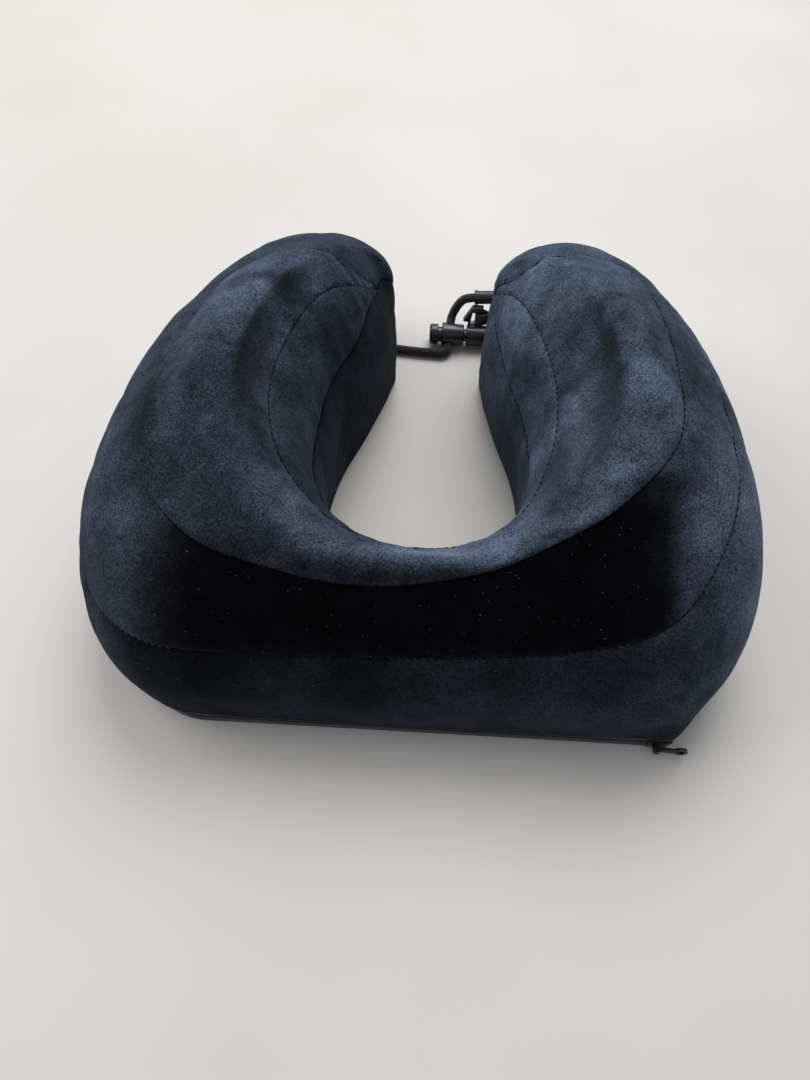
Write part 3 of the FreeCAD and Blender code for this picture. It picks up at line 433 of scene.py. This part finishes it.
# ---------------------------------------------------------------- cord
LOCK_LOW, LOCK_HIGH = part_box("lock_barrel")
LOCK_AXIS = (LOCK_LOW + LOCK_HIGH) / 2
MOUTH_TO_LOCK = (0.8 * MM, 21 * MM)         # from between the two tips to the lock
MOUTH = Vector((LOCK_LOW.x - MOUTH_TO_LOCK[0], LOCK_AXIS.y - MOUTH_TO_LOCK[1], 0))
CORD_ROUTE = [                              # from MOUTH (mm): left tip, lock, end cap
    (-28.7, 12.5, 2.6), (-23.5, 11.6, 2.6), (-16.6, 11.0, 2.6), (-10.0, 10.3, 2.6),
    (-3.6, 10.1, 2.7), (1.7, 9.4, 2.8), (5.2, 12.6, 3.95), (5.2, 29.4, 10.05),
    (7.0, 32.2, 14.6), (9.8, 33.2, 20.0), (13.4, 32.4, 24.5), (20.2, 31.9, 25.4),
]
CORD_DIAMETER, CORD_LENGTH = 0.005, 0.0767
STRANDS, LAY_LENGTH, BRAID_DEPTH = 8, 0.014, 0.045      # depth as a share of the radius
CORD_STEP, CORD_SIDES = 0.0004, 32


def route_points():
    """Points read from the route's own NURBS spline, in metres."""
    curve = bpy.data.curves.new("cord_route", "CURVE")
    curve.dimensions = "3D"
    curve.resolution_u = 16
    spline = curve.splines.new("NURBS")
    spline.points.add(len(CORD_ROUTE) - 1)
    for point, offset in zip(spline.points, CORD_ROUTE):
        point.co = (*(MOUTH + Vector(offset) * MM), 1)
    spline.order_u = 3
    spline.use_endpoint_u = True
    holder = new_object("cord_route", curve)
    bpy.context.view_layer.update()
    line = bpy.data.meshes.new_from_object(holder)
    points = np.array([v.co for v in line.vertices])
    bpy.data.objects.remove(holder)
    return points


def even_points(points, step):
    """The same line resampled at an even step."""
    along = np.concatenate([[0], np.cumsum(np.linalg.norm(np.diff(points, axis=0), axis=1))])
    marks = np.linspace(0, along[-1], max(2, round(along[-1] / step)))
    return np.stack([np.interp(marks, along, points[:, i]) for i in range(3)], 1), along[-1]


def frames_along(points):
    """Two steady cross directions at each point of a line."""
    tangents = np.gradient(points, axis=0)
    tangents /= np.linalg.norm(tangents, axis=1, keepdims=True)
    side = np.cross(tangents[0], (0, 0, 1.0))
    sides = []
    for tangent in tangents:
        side = side - tangent * (side @ tangent)
        side /= np.linalg.norm(side)
        sides.append(side)
    sides = np.array(sides)
    return sides, np.cross(tangents, sides)


def make_cord():
    """The braided cord, which bends between the left tip and the lock."""
    path, length = even_points(route_points(), CORD_STEP)
    sides, ups = frames_along(path)
    around = np.linspace(0, math.tau, CORD_SIDES, endpoint=False)
    run = np.linspace(0, length, len(path))[:, None]
    twist = math.tau / LAY_LENGTH * run / 4
    left_hand = np.cos(STRANDS * (around[None, :] + twist))
    right_hand = np.cos(STRANDS * (around[None, :] - twist))
    relief = np.maximum(left_hand, right_hand)
    radius = CORD_DIAMETER / 2 * (1 - BRAID_DEPTH + BRAID_DEPTH * relief)
    points = (path[:, None] + sides[:, None] * (radius * np.cos(around))[..., None]
              + ups[:, None] * (radius * np.sin(around))[..., None])
    cord = new_object("cord_braided", grid_mesh("cord_braided", points / MM, closed=True))
    cord.data.materials.append(BRAID)
    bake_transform(cord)
    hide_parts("cord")


make_cord()


# ---------------------------------------------------------------- cover panels
BAND, TOP, NECK, THROAT = (seam(t) for t in (SEAM_BAND, SEAM_TOP, SEAM_NECK, SEAM_THROAT))
LEFT_POINT, RIGHT_POINT = (-10.55, -10.15), (12.2, 12.7)      # where the top panel runs out
HEM = 0.03                                  # the throat panel stops this far short of the edge


def smooth_step(value, start, end):
    """0 up to start, 1 from end on, eased between."""
    share = np.clip((value - start) / (end - start), 0, 1)
    return share * share * (3 - 2 * share)


def outer_upper(station):
    """Upper edge of the outer panel: the top seam, and past its ends the throat seam."""
    away = (1 - smooth_step(station, *LEFT_POINT)) + smooth_step(station, *RIGHT_POINT)
    return TOP(station) * (1 - away) + THROAT(station) * away


LOW_PLACES = np.linspace(0, 2, 81)          # the lower part of a slice's outer side


def place_at_height(stations, height):
    """Where the outer side of each slice reaches a height."""
    places = np.tile(LOW_PLACES, (len(stations), 1))
    heights = surface(stations, places)[..., 2]
    return np.array([np.interp(h, z, p) for h, z, p in zip(height, heights, places)])


HEM_HEIGHT, ZIP_WINDOW = 0.4, 7.5           # the band's lower edge: elsewhere, over the zip
ZIP_STATIONS = (3.8, 4.8)                   # between these it comes down


def band_lower(station):
    """Lower edge of the band: raised over the zip, down at the table elsewhere."""
    share = smooth_step(np.abs(station), *ZIP_STATIONS)
    return place_at_height(station, ZIP_WINDOW * (1 - share) + HEM_HEIGHT * share)


PANELS = {                                  # first and last station, lower and upper edge
    "base_band": (-LAST, LAST, band_lower, BAND),
    "outer_panel": (-LAST, LAST, BAND, outer_upper),
    "top_panel": (LEFT_POINT[1], RIGHT_POINT[0], TOP, NECK),
    "neck_panel": (-10.4, 12.6, NECK, THROAT),
    "throat_panel": (-LAST, LAST, THROAT, lambda s: np.full_like(s, PLACES[-1] - HEM)),
}


def edge_rows(count, tight):
    """Shares from 0 to 1, the closer together near both ends the nearer tight is to 1."""
    even = np.linspace(-1, 1, count)
    crowded = np.sin(even * math.pi / 2)
    return (even + (crowded - even) * tight) / 2 + 0.5


def panel_grid(name, columns, shares):
    """A panel's stations, and the points (mm) and normals of its grid."""
    first, last, low, high = PANELS[name]
    stations = np.linspace(first, last, columns)
    a, b = low(stations)[:, None], high(stations)[:, None]
    places = a + (b - a) * shares[None, :]
    return stations, surface(stations, places), surface_normals(stations, places)


PAINTED_HIGHLIGHT_START = 0.94                               # above this value the colour ramp paints a highlight, where the pile shines towards the light
BRUSHED = (                                 # centre x, y, turn, length, width (mm), depth
    (-68, 24, 25, 19, 7, 0.34), (-107, -39, 92, 22, 6, 0.30), (64, -2, 8, 22, 8, 0.24),
)


def brushed(x, y):
    """Darker streaks, where a hand has brushed the pile of the arms."""
    dark = np.zeros_like(x)
    for centre_x, centre_y, turn, length, width, depth in BRUSHED:
        c, s = math.cos(math.radians(turn)), math.sin(math.radians(turn))
        along = (x - centre_x) * c + (y - centre_y) * s
        across = (y - centre_y) * c - (x - centre_x) * s
        dark += depth * np.exp(-(along / length) ** 2 - (across / width) ** 2)
    return dark


def painted_light_of(name, points, normals):
    """Painted light and shade of the pile, by where it faces: painted shade down the back slope,
    which reads nearly black.
    """
    x, y, z = points[..., 0], points[..., 1], points[..., 2]
    side, back, up = normals[..., 0], -normals[..., 1], normals[..., 2]
    middle = np.exp(-(x / 75) ** 2)
    if name == "top_panel":
        # Painted light where the top faces up and on the right arm; painted shade at the left
        # back and the saddle.
        shade = 0.52 + 0.40 * smooth_step(up, 0.3, 0.95)
        shade += 0.30 * smooth_step(y, -50, 40) * smooth_step(x, 0, 50)             # right arm
        shade -= 0.30 * smooth_step(-x, 20, 90) * (1 - smooth_step(y, -25, 15))     # left back
        shade -= 0.34 * middle * smooth_step(-y, 62, 92)                            # saddle
        shade += 0.30 * middle * smooth_step(y, -92, -78)
        shade = np.minimum(shade - brushed(x, y), PAINTED_HIGHLIGHT_START)
        # A painted highlight on the lip behind the neck opening's back edge.
        painted_lip_highlight = np.exp(-((x - 5) / 42) ** 2) * smooth_step(y, -98, -87) * smooth_step(-y, 68, 82)
        return shade + (1 - shade) * painted_lip_highlight
    if name == "outer_panel":
        # painted shade on the back slope, dark but for its two ends; painted light towards the
        # right
        slope = smooth_step(-y, 46, 78) * smooth_step(back, 0.26, 0.58)
        slope *= 0.12 + 0.88 * smooth_step(x, -114, -80) * smooth_step(-x, -102, -86)
        return (0.70 + 0.12 * smooth_step(x, 0, 60) - brushed(x, y)) * (1 - slope)
    if name == "base_band":
        # painted light at the sides and to the right, painted shade at the left of the back and
        # towards the bottom
        shade = 0.40 + 0.42 * smooth_step(np.abs(side), 0.25, 0.9)
        shade -= 0.08 * smooth_step(-z, -30, 0)
        shade -= 0.26 * smooth_step(-x, 30, 100) * smooth_step(-y, 40, 85)
        return shade + 0.16 * smooth_step(x, 30, 110)
    if name == "neck_panel":
        # Painted light: lighter where the neck panel faces left, and in the middle.
        return np.minimum(0.78 - 0.34 * side + 0.20 * middle, PAINTED_HIGHLIGHT_START)
    # Painted light: lighter where the throat panel faces left.
    return 0.57 - 0.23 * side


SIM_COLUMNS, SIM_ROWS, SIM_FRAMES = 150, 19, 20
PUFF_IN, PUFF_OUT = 1.2, 4.0                # how far the cloth may sink and stand (mm)


def puff(name):
    """How far (mm) the sewn panel moves when it is pressed out from inside, on a coarse grid.

    The cloth is cut a little large and held at its seams, so it swells and wrinkles.
    """
    shares = np.linspace(0, 1, SIM_ROWS)
    _, points, normals = panel_grid(name, SIM_COLUMNS, shares)
    item = new_object("puff", grid_mesh("puff", points))
    index = np.arange(SIM_COLUMNS * SIM_ROWS).reshape(SIM_COLUMNS, SIM_ROWS)
    held = np.unique(np.concatenate([index[:, 0], index[:, -1], index[0], index[-1]]))
    item.vertex_groups.new(name="sewn").add(held.tolist(), 1.0, "REPLACE")
    cloth = item.modifiers.new("Cloth", "CLOTH")
    settings = cloth.settings
    settings.quality = 5
    settings.mass = 0.15
    settings.tension_stiffness = settings.compression_stiffness = 12
    settings.shear_stiffness = 5
    settings.bending_stiffness = 0.25
    settings.vertex_group_mass = "sewn"
    settings.use_pressure = True
    settings.uniform_pressure_force = 4
    settings.shrink_min = -0.03
    settings.effector_weights.gravity = 0
    cloth.collision_settings.use_collision = False
    cloth.point_cache.frame_start, cloth.point_cache.frame_end = 1, SIM_FRAMES
    for moment in range(1, SIM_FRAMES + 1):
        SCENE.frame_set(moment)
    shaped = item.evaluated_get(bpy.context.evaluated_depsgraph_get()).to_mesh()
    moved = np.zeros(len(shaped.vertices) * 3)
    shaped.vertices.foreach_get("co", moved)
    moved = moved.reshape(points.shape) / MM - points
    SCENE.frame_set(1)
    bpy.data.objects.remove(item)
    return np.clip((moved * normals).sum(-1), -PUFF_IN, PUFF_OUT)


def spread(coarse, columns, shares):
    """A coarse grid of values read smoothly on a finer one."""
    knots = np.linspace(0, 1, len(coarse))
    fine = spline_at(knots, coarse, spline_bends(knots, coarse), np.linspace(0, 1, columns))
    fine = fine.T
    knots = np.linspace(0, 1, len(fine))
    return spline_at(knots, fine, spline_bends(knots, fine), shares).T


# How much of its simulated swelling each panel keeps: the photo's cover is nearly smooth.
PUFF_SHARE = {"base_band": 0.25, "outer_panel": 0.32, "top_panel": 0.65, "neck_panel": 0.35,
              "throat_panel": 0.2}
COVER_STANDS = 1.0                          # cloth's outer face above the drawn surface (mm)
ZIP_LOW, ZIP_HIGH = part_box("zip_coil_upper")
CHAIN_PLANE = (ZIP_LOW.y + ZIP_HIGH.y) / 2 / MM
CHAIN_START, CHAIN_END = ZIP_LOW.x / MM, ZIP_HIGH.x / MM
CORNER_DEPTH = 30                           # only cloth this near the zip is drawn to it
LEFT_EASE, RIGHT_EASE = (-8, 12.6), (-1, 14)            # from the chain's ends (mm)
LEFT_FADE, RIGHT_FADE = (8, 22), (8, 44)    # heights over which the cloth leaves it
BEHIND_CHAIN = 0.4


def meet_zip(points):
    """Draw the cloth's lower edge out to the straight zip where the corners curve away."""
    x, y, z = points[..., 0], points[..., 1], points[..., 2]
    left = smooth_step(x, *(CHAIN_START + e for e in LEFT_EASE))
    right = 1 - smooth_step(x, *(CHAIN_END + e for e in RIGHT_EASE))
    near = np.where(x < 0, left * (1 - smooth_step(z, *LEFT_FADE)),
                    right * (1 - smooth_step(z, *RIGHT_FADE)))
    near *= y < CHAIN_PLANE + CORNER_DEPTH
    points[..., 1] += near * np.minimum(CHAIN_PLANE - BEHIND_CHAIN - y, 0)
    return points


EDGES = {                                   # each panel's lower and upper seams
    "base_band": (None, "band"), "outer_panel": ("band", "top"), "top_panel": ("top", "neck"),
    "neck_panel": ("neck", "throat"), "throat_panel": ("throat", None),
}
RIDGE, RIDGE_EASE = (-9.4, -4.4), (0.6, 0.8)            # stations of the top seam's soft part
RIDGE_STRENGTH = 0.15
TUCK_DEPTH, TUCK_REACH = 0.95, 1.3          # sharp tuck at the stitches (mm)
DIP_DEPTH, DIP_REACH = 0.45, 6.5            # soft dip on both sides of it
PUCKER_DEPTH, PUCKER_REACH, PUCKER_LENGTH = 0.55, 10, 9.0
NARROW = 18                                 # a panel narrower than this is drawn in less (mm)
TIP_SHARE, TIP_STATIONS = 0.35, (0.2, 1.6)  # and so is one at the tips


def seam_strength(edge, stations):
    """How strongly a seam draws the cloth in, from 0 to 1, at each station."""
    if edge != "top":
        return np.ones(len(stations))
    start, end = RIDGE
    inside = smooth_step(stations, start - RIDGE_EASE[0], start)
    inside *= 1 - smooth_step(stations, end, end + RIDGE_EASE[1])
    return 1 - (1 - RIDGE_STRENGTH) * inside


def sewn_relief(name, points, stations):
    """How deep (mm) the cloth is drawn in near its seams, with small puckers along them."""
    across = np.linalg.norm(np.diff(points, axis=1), axis=2)
    run = np.concatenate([np.zeros((len(points), 1)), np.cumsum(across, axis=1)], axis=1)
    relief = np.zeros_like(run)
    low, high = EDGES[name]
    for edge, column, distance in ((low, 0, run), (high, -1, run[:, -1:] - run)):
        if not edge:
            continue
        steps = np.linalg.norm(np.diff(points[:, column], axis=0), axis=1)
        along = np.concatenate([[0], np.cumsum(steps)])
        pucker = np.array([noise.noise(Vector((a / PUCKER_LENGTH, len(name), column)))
                           for a in along])[:, None]
        depth = TUCK_DEPTH * np.exp(-distance / TUCK_REACH)
        depth += DIP_DEPTH * np.exp(-(distance / DIP_REACH) ** 2)
        depth += (PUCKER_DEPTH * pucker * np.exp(-(distance / PUCKER_REACH) ** 2)
                  * (1 - np.exp(-distance)))
        relief += depth * seam_strength(edge, stations)[:, None]
    ends = np.minimum(run[:, -1:] / NARROW, 1)
    tips = smooth_step(LAST - np.abs(stations), *TIP_STATIONS)[:, None]
    return relief * ends * (TIP_SHARE + (1 - TIP_SHARE) * tips)


CORNER_REACH = 0.4                          # stations


def close_corners(points, stations):
    """Bring a panel's upright end to the tip's corner seam, where the two sides are sewn."""
    for end in (0, -1):
        if abs(stations[end]) < LAST:
            continue
        corners = surface(np.array([stations[end]] * 2), np.array([[0.0], [PLACES[-1]]]))
        seam_xy = corners[:, 0, :2].mean(0)
        shift = seam_xy - points[end, :, :2]
        reach = np.exp(-((stations[end] - stations) / CORNER_REACH) ** 2)
        points[..., :2] += reach[:, None, None] * shift
    return points


PANEL_COLUMNS, PANEL_ROWS, ROWS_CROWD = 460, 38, 0.85
TABLE_GAP = 0.2                             # the cover's lowest edge stands this high (mm)


def make_panel(name):
    """One sewn panel of the cover, in place of the CAD node of that name."""
    shares = edge_rows(PANEL_ROWS, ROWS_CROWD)
    stations, points, normals = panel_grid(name, PANEL_COLUMNS, shares)
    swell = spread(puff(name), PANEL_COLUMNS, shares) * PUFF_SHARE[name]
    height = COVER_STANDS + swell - sewn_relief(name, points, stations)
    points = points + normals * height[..., None]
    points[..., 2] = np.maximum(points[..., 2], TABLE_GAP)
    points = close_corners(meet_zip(points), stations)
    mesh = grid_mesh(name, points)
    # Painted light and shade for each point, read by the velour's colour ramp.
    painted_light = mesh.attributes.new("painted_light", "FLOAT", "POINT")
    painted_light.data.foreach_set("value", painted_light_of(name, points, normals).ravel().astype(np.float32))
    panel = new_object(name + "_cover", mesh, "pillow")
    panel.data.materials.append(VELOUR)
    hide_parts(name)


for name in PANELS:
    make_panel(name)


# ---------------------------------------------------------------- stitches
STITCH_PITCH, STITCH_LENGTH, STITCH_RADIUS, STITCH_LIFT = 3.0, 1.9, 0.20, 0.05


def capsule_points():
    """A small rounded stitch along X, as rings of points."""
    turn = np.linspace(0, math.tau, 6, endpoint=False)
    rings = [(-0.5, 0.25), (-0.36, 0.9), (0.0, 1.0), (0.36, 0.9), (0.5, 0.25)]   # along, wide
    return np.array([[(a * STITCH_LENGTH, r * STITCH_RADIUS * math.cos(t),
                       r * STITCH_RADIUS * math.sin(t)) for t in turn] for a, r in rings])


def make_stitches(name, edge, first, last, material):
    """A row of stitches lying along a seam."""
    stations = np.linspace(first, last, 4000)
    places = edge(stations)[:, None]
    normals = surface_normals(stations, places)[:, 0]
    line = surface(stations, places)[:, 0] + normals * STITCH_LIFT
    along = np.concatenate([[0], np.cumsum(np.linalg.norm(np.diff(line, axis=0), axis=1))])
    marks = np.arange(STITCH_PITCH, along[-1] - STITCH_PITCH, STITCH_PITCH)
    shape = capsule_points()
    rings, turns = shape.shape[:2]
    vertices, faces = [], []
    for mark in marks:
        i = min(np.searchsorted(along, mark), len(line) - 2)
        tangent = line[i + 1] - line[i - 1]
        tangent /= np.linalg.norm(tangent)
        up = normals[i]
        side = np.cross(up, tangent)
        start = len(vertices)
        for ring in shape:
            vertices += [(line[i] + tangent * q[0] + side * q[1] + up * q[2]) * MM for q in ring]
        for r in range(rings - 1):
            for t in range(turns):
                u = (t + 1) % turns
                faces.append((start + r * turns + t, start + r * turns + u,
                              start + (r + 1) * turns + u, start + (r + 1) * turns + t))
    mesh = bpy.data.meshes.new(name)
    mesh.from_pydata(vertices, [], faces)
    mesh.shade_smooth()
    row = new_object(name, mesh, "pillow")
    row.data.materials.append(material)


# Painted sheen: the left part of the band seam's stitches take the lighter copy of the thread.
make_stitches("stitches_band_left", BAND, -8.5, -2.6, PAINTED_SHEEN_THREAD)
make_stitches("stitches_band_right", BAND, -2.5, 13.6, THREAD)
make_stitches("stitches_top_right", TOP, RIDGE[1], RIGHT_POINT[0], THREAD)
make_stitches("stitches_top_left", TOP, LEFT_POINT[1], RIDGE[0], THREAD)
make_stitches("stitches_neck", NECK, -10.3, 12.5, THREAD)
make_stitches("stitches_throat", THROAT, -13.6, 13.6, THREAD)


# ---------------------------------------------------------------- base, zip and webbing
def make_strip(name, rows, material, slot, *nodes):
    """A strip of cloth through rows of points, standing for CAD nodes."""
    strip = new_object(name, grid_mesh(name, rows), "pillow")
    strip.data.materials.append(material)
    if nodes:
        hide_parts(*nodes)
    return strip


BASE_HEIGHT = 0.15


def make_base():
    """The flat base cloth, from hem to hem."""
    stations = np.linspace(-LAST, LAST, 300)
    ends = np.tile([0.0, float(PLACES[-1])], (len(stations), 1))
    edges = surface(stations, ends)
    shares = edge_rows(24, 0.6)[None, :, None]
    points = edges[:, :1] * (1 - shares) + edges[:, 1:] * shares
    points[..., 2] = BASE_HEIGHT
    base = make_strip("base_cloth", points[:, ::-1], BASE_CLOTH, "base_cloth", "bottom_panel")


ZIP_SPAN, TAPE_INSET = (-5, 5), 0.5         # stations; distance inside the body surface (mm)


def tape_rows(low, high):
    """A strip between two heights round the zip's corners, drawn out to the zip."""
    stations = np.linspace(*ZIP_SPAN, 260)
    columns = [place_at_height(stations, np.full_like(stations, h))
               for h in np.linspace(low, high, 5)]
    places = np.stack(columns, 1)
    points = surface(stations, places) - surface_normals(stations, places) * TAPE_INSET
    return meet_zip(points)


def tube_mesh(name, path, radius):
    """A thin six-sided tube along a path."""
    sides, ups = frames_along(path)
    around = np.linspace(0, math.tau, 6, endpoint=False)
    points = (path[:, None] + sides[:, None] * (radius * np.cos(around))[None, :, None]
              + ups[:, None] * (radius * np.sin(around))[None, :, None])
    return grid_mesh(name, points, closed=True)


TURN_IN, TURN_FROM = 2.4, -88               # how far the chain turns in, and from which x (mm)


def chain_line(x):
    """The chain's depth: straight where the slider runs, then turning in at the left corner."""
    return CHAIN_PLANE + TURN_IN * smooth_step(-x, -TURN_FROM, -CHAIN_START) ** 2


COIL_PITCH, COIL_WIRE, COIL_RADIUS, COIL_FLAT = 1.5, 0.24, 0.40, 0.8


def coil(name, centre_z, node):
    """One nylon coil: a small helix sewn along the tape's edge."""
    turns = (CHAIN_END - CHAIN_START) / COIL_PITCH
    step = np.linspace(0, turns * math.tau, int(turns * 12))
    x = CHAIN_START + step / math.tau * COIL_PITCH
    path = np.stack([x, chain_line(x) + (COIL_RADIUS + 0.1) * np.cos(step),
                     centre_z + COIL_RADIUS * COIL_FLAT * np.sin(step)], 1)
    item = new_object(name, tube_mesh(name, path, COIL_WIRE), "pillow")
    item.data.materials.append(COIL)
    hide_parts(node)


HIGH_TAPE, LOW_TAPE = (5.2, 8.4), (0.2, 4.0)            # heights of the tapes' edges (mm)
STOP_LENGTH, STOP_DEPTH, STOP_ROUND = 1.6, 1.2, 0.3
STOP_AWAY = 0.9                             # from the coils' end to a stop's middle


def make_zip():
    """Both tapes and coils, and the stop at each end of the chain."""
    make_strip("zip_tape_high", tape_rows(*HIGH_TAPE), TAPE, "zip_tape", "zip_tape_upper")
    make_strip("zip_tape_low", tape_rows(*LOW_TAPE), TAPE, "zip_tape", "zip_tape_lower")
    for word, node in (("high", "zip_coil_upper"), ("low", "zip_coil_lower")):
        low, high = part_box(node)
        coil("zip_teeth_" + word, (low.z + high.z) / 2 / MM, node)
    low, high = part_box("zip_stops")
    for x in (CHAIN_START - STOP_AWAY, CHAIN_END + STOP_AWAY):
        bpy.ops.mesh.primitive_cube_add(size=MM)
        stop = bpy.context.object
        stop.name = "zip_stop_left" if x < 0 else "zip_stop_right"
        stop.scale = (STOP_LENGTH, STOP_DEPTH, (high.z - low.z) / MM)
        depth = float(chain_line(np.array([x]))[0])
        stop.location = (x * MM, depth * MM, (low.z + high.z) / 2)
        stop.data.materials.append(COIL)
        soften = stop.modifiers.new("soften", "BEVEL")
        soften.width, soften.segments = STOP_ROUND * MM, 3
        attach(stop, "pillow")
    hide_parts("zip_stops")


WEB_FRONT, WEB_BACK = 3.2, 7.8              # the tab's faces at the bar, from the lock's axis
WEB_THICKNESS = 0.9


def make_webbing():
    """A flat woven tab folded round the socket's bar, its two layers sewn into the right tip."""
    low, high = (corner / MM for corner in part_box("clasp_web"))
    axis_y = LOCK_AXIS.y / MM
    front, back = axis_y + WEB_FRONT, axis_y + WEB_BACK
    middle = (front + back) / 2
    left, bar_left = low.x + 0.55, low.x + 1.35
    bar_right = bar_left + 3.0
    seat = np.array([high.x - 0.6, low.y + 1.0])
    inside = seat + np.array([4.5, -1.6])
    apart = np.array([0.18, 0.55])
    # From inside the tip along the front layer, round the bar, and back along the other layer.
    outline = [inside - apart, seat - apart, (bar_right + 4.0, middle - 1.6),
               (bar_right + 0.6, front + 0.1), (bar_left + 1.0, front), (left + 0.1, front + 1.1),
               (left + 0.1, back - 1.1), (bar_left + 1.0, back), (bar_right + 0.6, back - 0.1),
               (bar_right + 4.0, middle + 0.2), seat + apart, inside + apart]
    knots = np.arange(len(outline))
    outline = np.array(outline, float)
    line = spline_at(knots, outline, spline_bends(knots, outline), np.linspace(0, knots[-1], 80))
    heights = np.linspace(low.z + 0.2, high.z - 0.2, 9)
    rows = np.array([[(x, y, z) for z in heights] for x, y in line])
    web = make_strip("webbing_tab", rows, WEBBING, "webbing", "clasp_web")
    thick = web.modifiers.new("thickness", "SOLIDIFY")
    thick.thickness = WEB_THICKNESS * MM
    thick.offset = 0


SPRING_START, SPRING_END, SPRING_RADIUS, SPRING_TURNS = 14.86, 17.16, 3.7, 2.5
SPRING_WIRE, SPRING_KEEPS = 0.25, 0.26      # wire's radius, and the share left when pressed


def make_spring():
    """The lock's coil spring, carried with the lock."""
    share = np.linspace(0, 1, 90)
    turn = math.tau * SPRING_TURNS * share
    path = np.stack([SPRING_START + (SPRING_END - SPRING_START) * share,
                     LOCK_AXIS.y / MM + SPRING_RADIUS * np.sin(turn),
                     LOCK_AXIS.z / MM + SPRING_RADIUS * np.cos(turn)], 1)
    spring = new_object("spring_coil", tube_mesh("spring_coil", path, SPRING_WIRE), "lock")
    spring.data.materials.append(STEEL)
    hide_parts("lock_spring")
    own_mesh(spring)


# Name, first place on the slice, distance inside the body surface (mm), material, slot. The
# lining starts above the zip's slider.
INSIDE = (("lining", 0.62, 0.7, VELOUR, "velour"), ("foam_block", 0.15, 3.2, FOAM, "foam"))
INSIDE_SPAN, INSIDE_LAST_PLACE = (-13.9, 13.9), 10.85


def make_inside():
    """The cover's lining, and the foam block under it, so that no seam opens on to nothing."""
    stations = np.linspace(*INSIDE_SPAN, 200)
    for name, first, inset, material, slot in INSIDE:
        places = np.tile(np.linspace(first, INSIDE_LAST_PLACE, 64), (len(stations), 1))
        points = surface(stations, places) - surface_normals(stations, places) * inset
        points[..., 2] = np.maximum(points[..., 2], inset)
        item = make_strip(name, points, material, slot)
        if slot == "foam":
            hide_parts("foam_core")


make_inside()
make_spring()
make_base()
make_zip()
make_webbing()


# ---------------------------------------------------------------- floor, light, camera
FLOOR_REACH = 6.0


def make_floor():
    """A plain pale table."""
    n = Nodes("floor")
    tone = n.noise(6, 3, 0.5)
    colour = n.ramp(tone, [(0.3, (0.53, 0.50, 0.45)), (0.7, (0.57, 0.54, 0.49))])
    material = n.finish(colour, 0.55)
    mesh = bpy.data.meshes.new("floor")
    corners = [(-1, -1, 0), (1, -1, 0), (1, 1, 0), (-1, 1, 0)]
    mesh.from_pydata([Vector(c) * FLOOR_REACH for c in corners], [], [(0, 1, 2, 3)])
    mesh.materials.append(material)
    new_object("floor", mesh)


LAMP_SIZE, LAMP_COLOUR, LAMP_TARGET = 1.3, (0.96, 0.98, 1.0), Vector((0, 0, 0.05))


def area_light(name, place, power):
    """A soft round lamp that faces the pillow."""
    data = bpy.data.lights.new(name, "AREA")
    data.shape = "DISK"
    data.size, data.energy, data.color = LAMP_SIZE, power, LAMP_COLOUR
    lamp = new_object(name, data)
    lamp.location = place
    lamp.rotation_euler = (LAMP_TARGET - Vector(place)).to_track_quat("-Z", "Y").to_euler()


CAMERA_PLACE = (0.0014, -0.2577, 0.345)
CAMERA_TURN = (56, -2.1, 1.3)               # degrees: down, sideways, rolled
SENSOR, LENS = 36.0, 28.3333


def make_camera():
    """The viewer stands behind the pillow's back edge and looks down at it."""
    pitch, yaw, roll = (math.radians(angle) for angle in CAMERA_TURN)
    look = Vector((math.sin(yaw) * math.cos(pitch), math.cos(yaw) * math.cos(pitch),
                   -math.sin(pitch)))
    level = Vector((math.cos(yaw), -math.sin(yaw), 0))
    rise = level.cross(look)
    right = level * math.cos(roll) + rise * math.sin(roll)
    up = rise * math.cos(roll) - level * math.sin(roll)
    data = bpy.data.cameras.new("camera")
    data.sensor_width = SENSOR
    data.lens = LENS
    data.clip_start = 0.01
    camera = new_object("camera", data)
    turned = Matrix((right, up, -look)).transposed()
    camera.matrix_world = Matrix.Translation(Vector(CAMERA_PLACE)) @ turned.to_4x4()
    SCENE.camera = camera


make_floor()
area_light("key", (0.2, 1.0, 1.5), 27)
area_light("fill", (-1.2, 0.2, 1.1), 13)
world = bpy.data.worlds.new("studio")
world.use_nodes = True
sky = world.node_tree.nodes["Background"]
sky.inputs["Color"].default_value = (0.86, 0.90, 1.0, 1)
sky.inputs["Strength"].default_value = 0.55
SCENE.world = world
make_camera()
SCENE.view_settings.view_transform = "Standard"
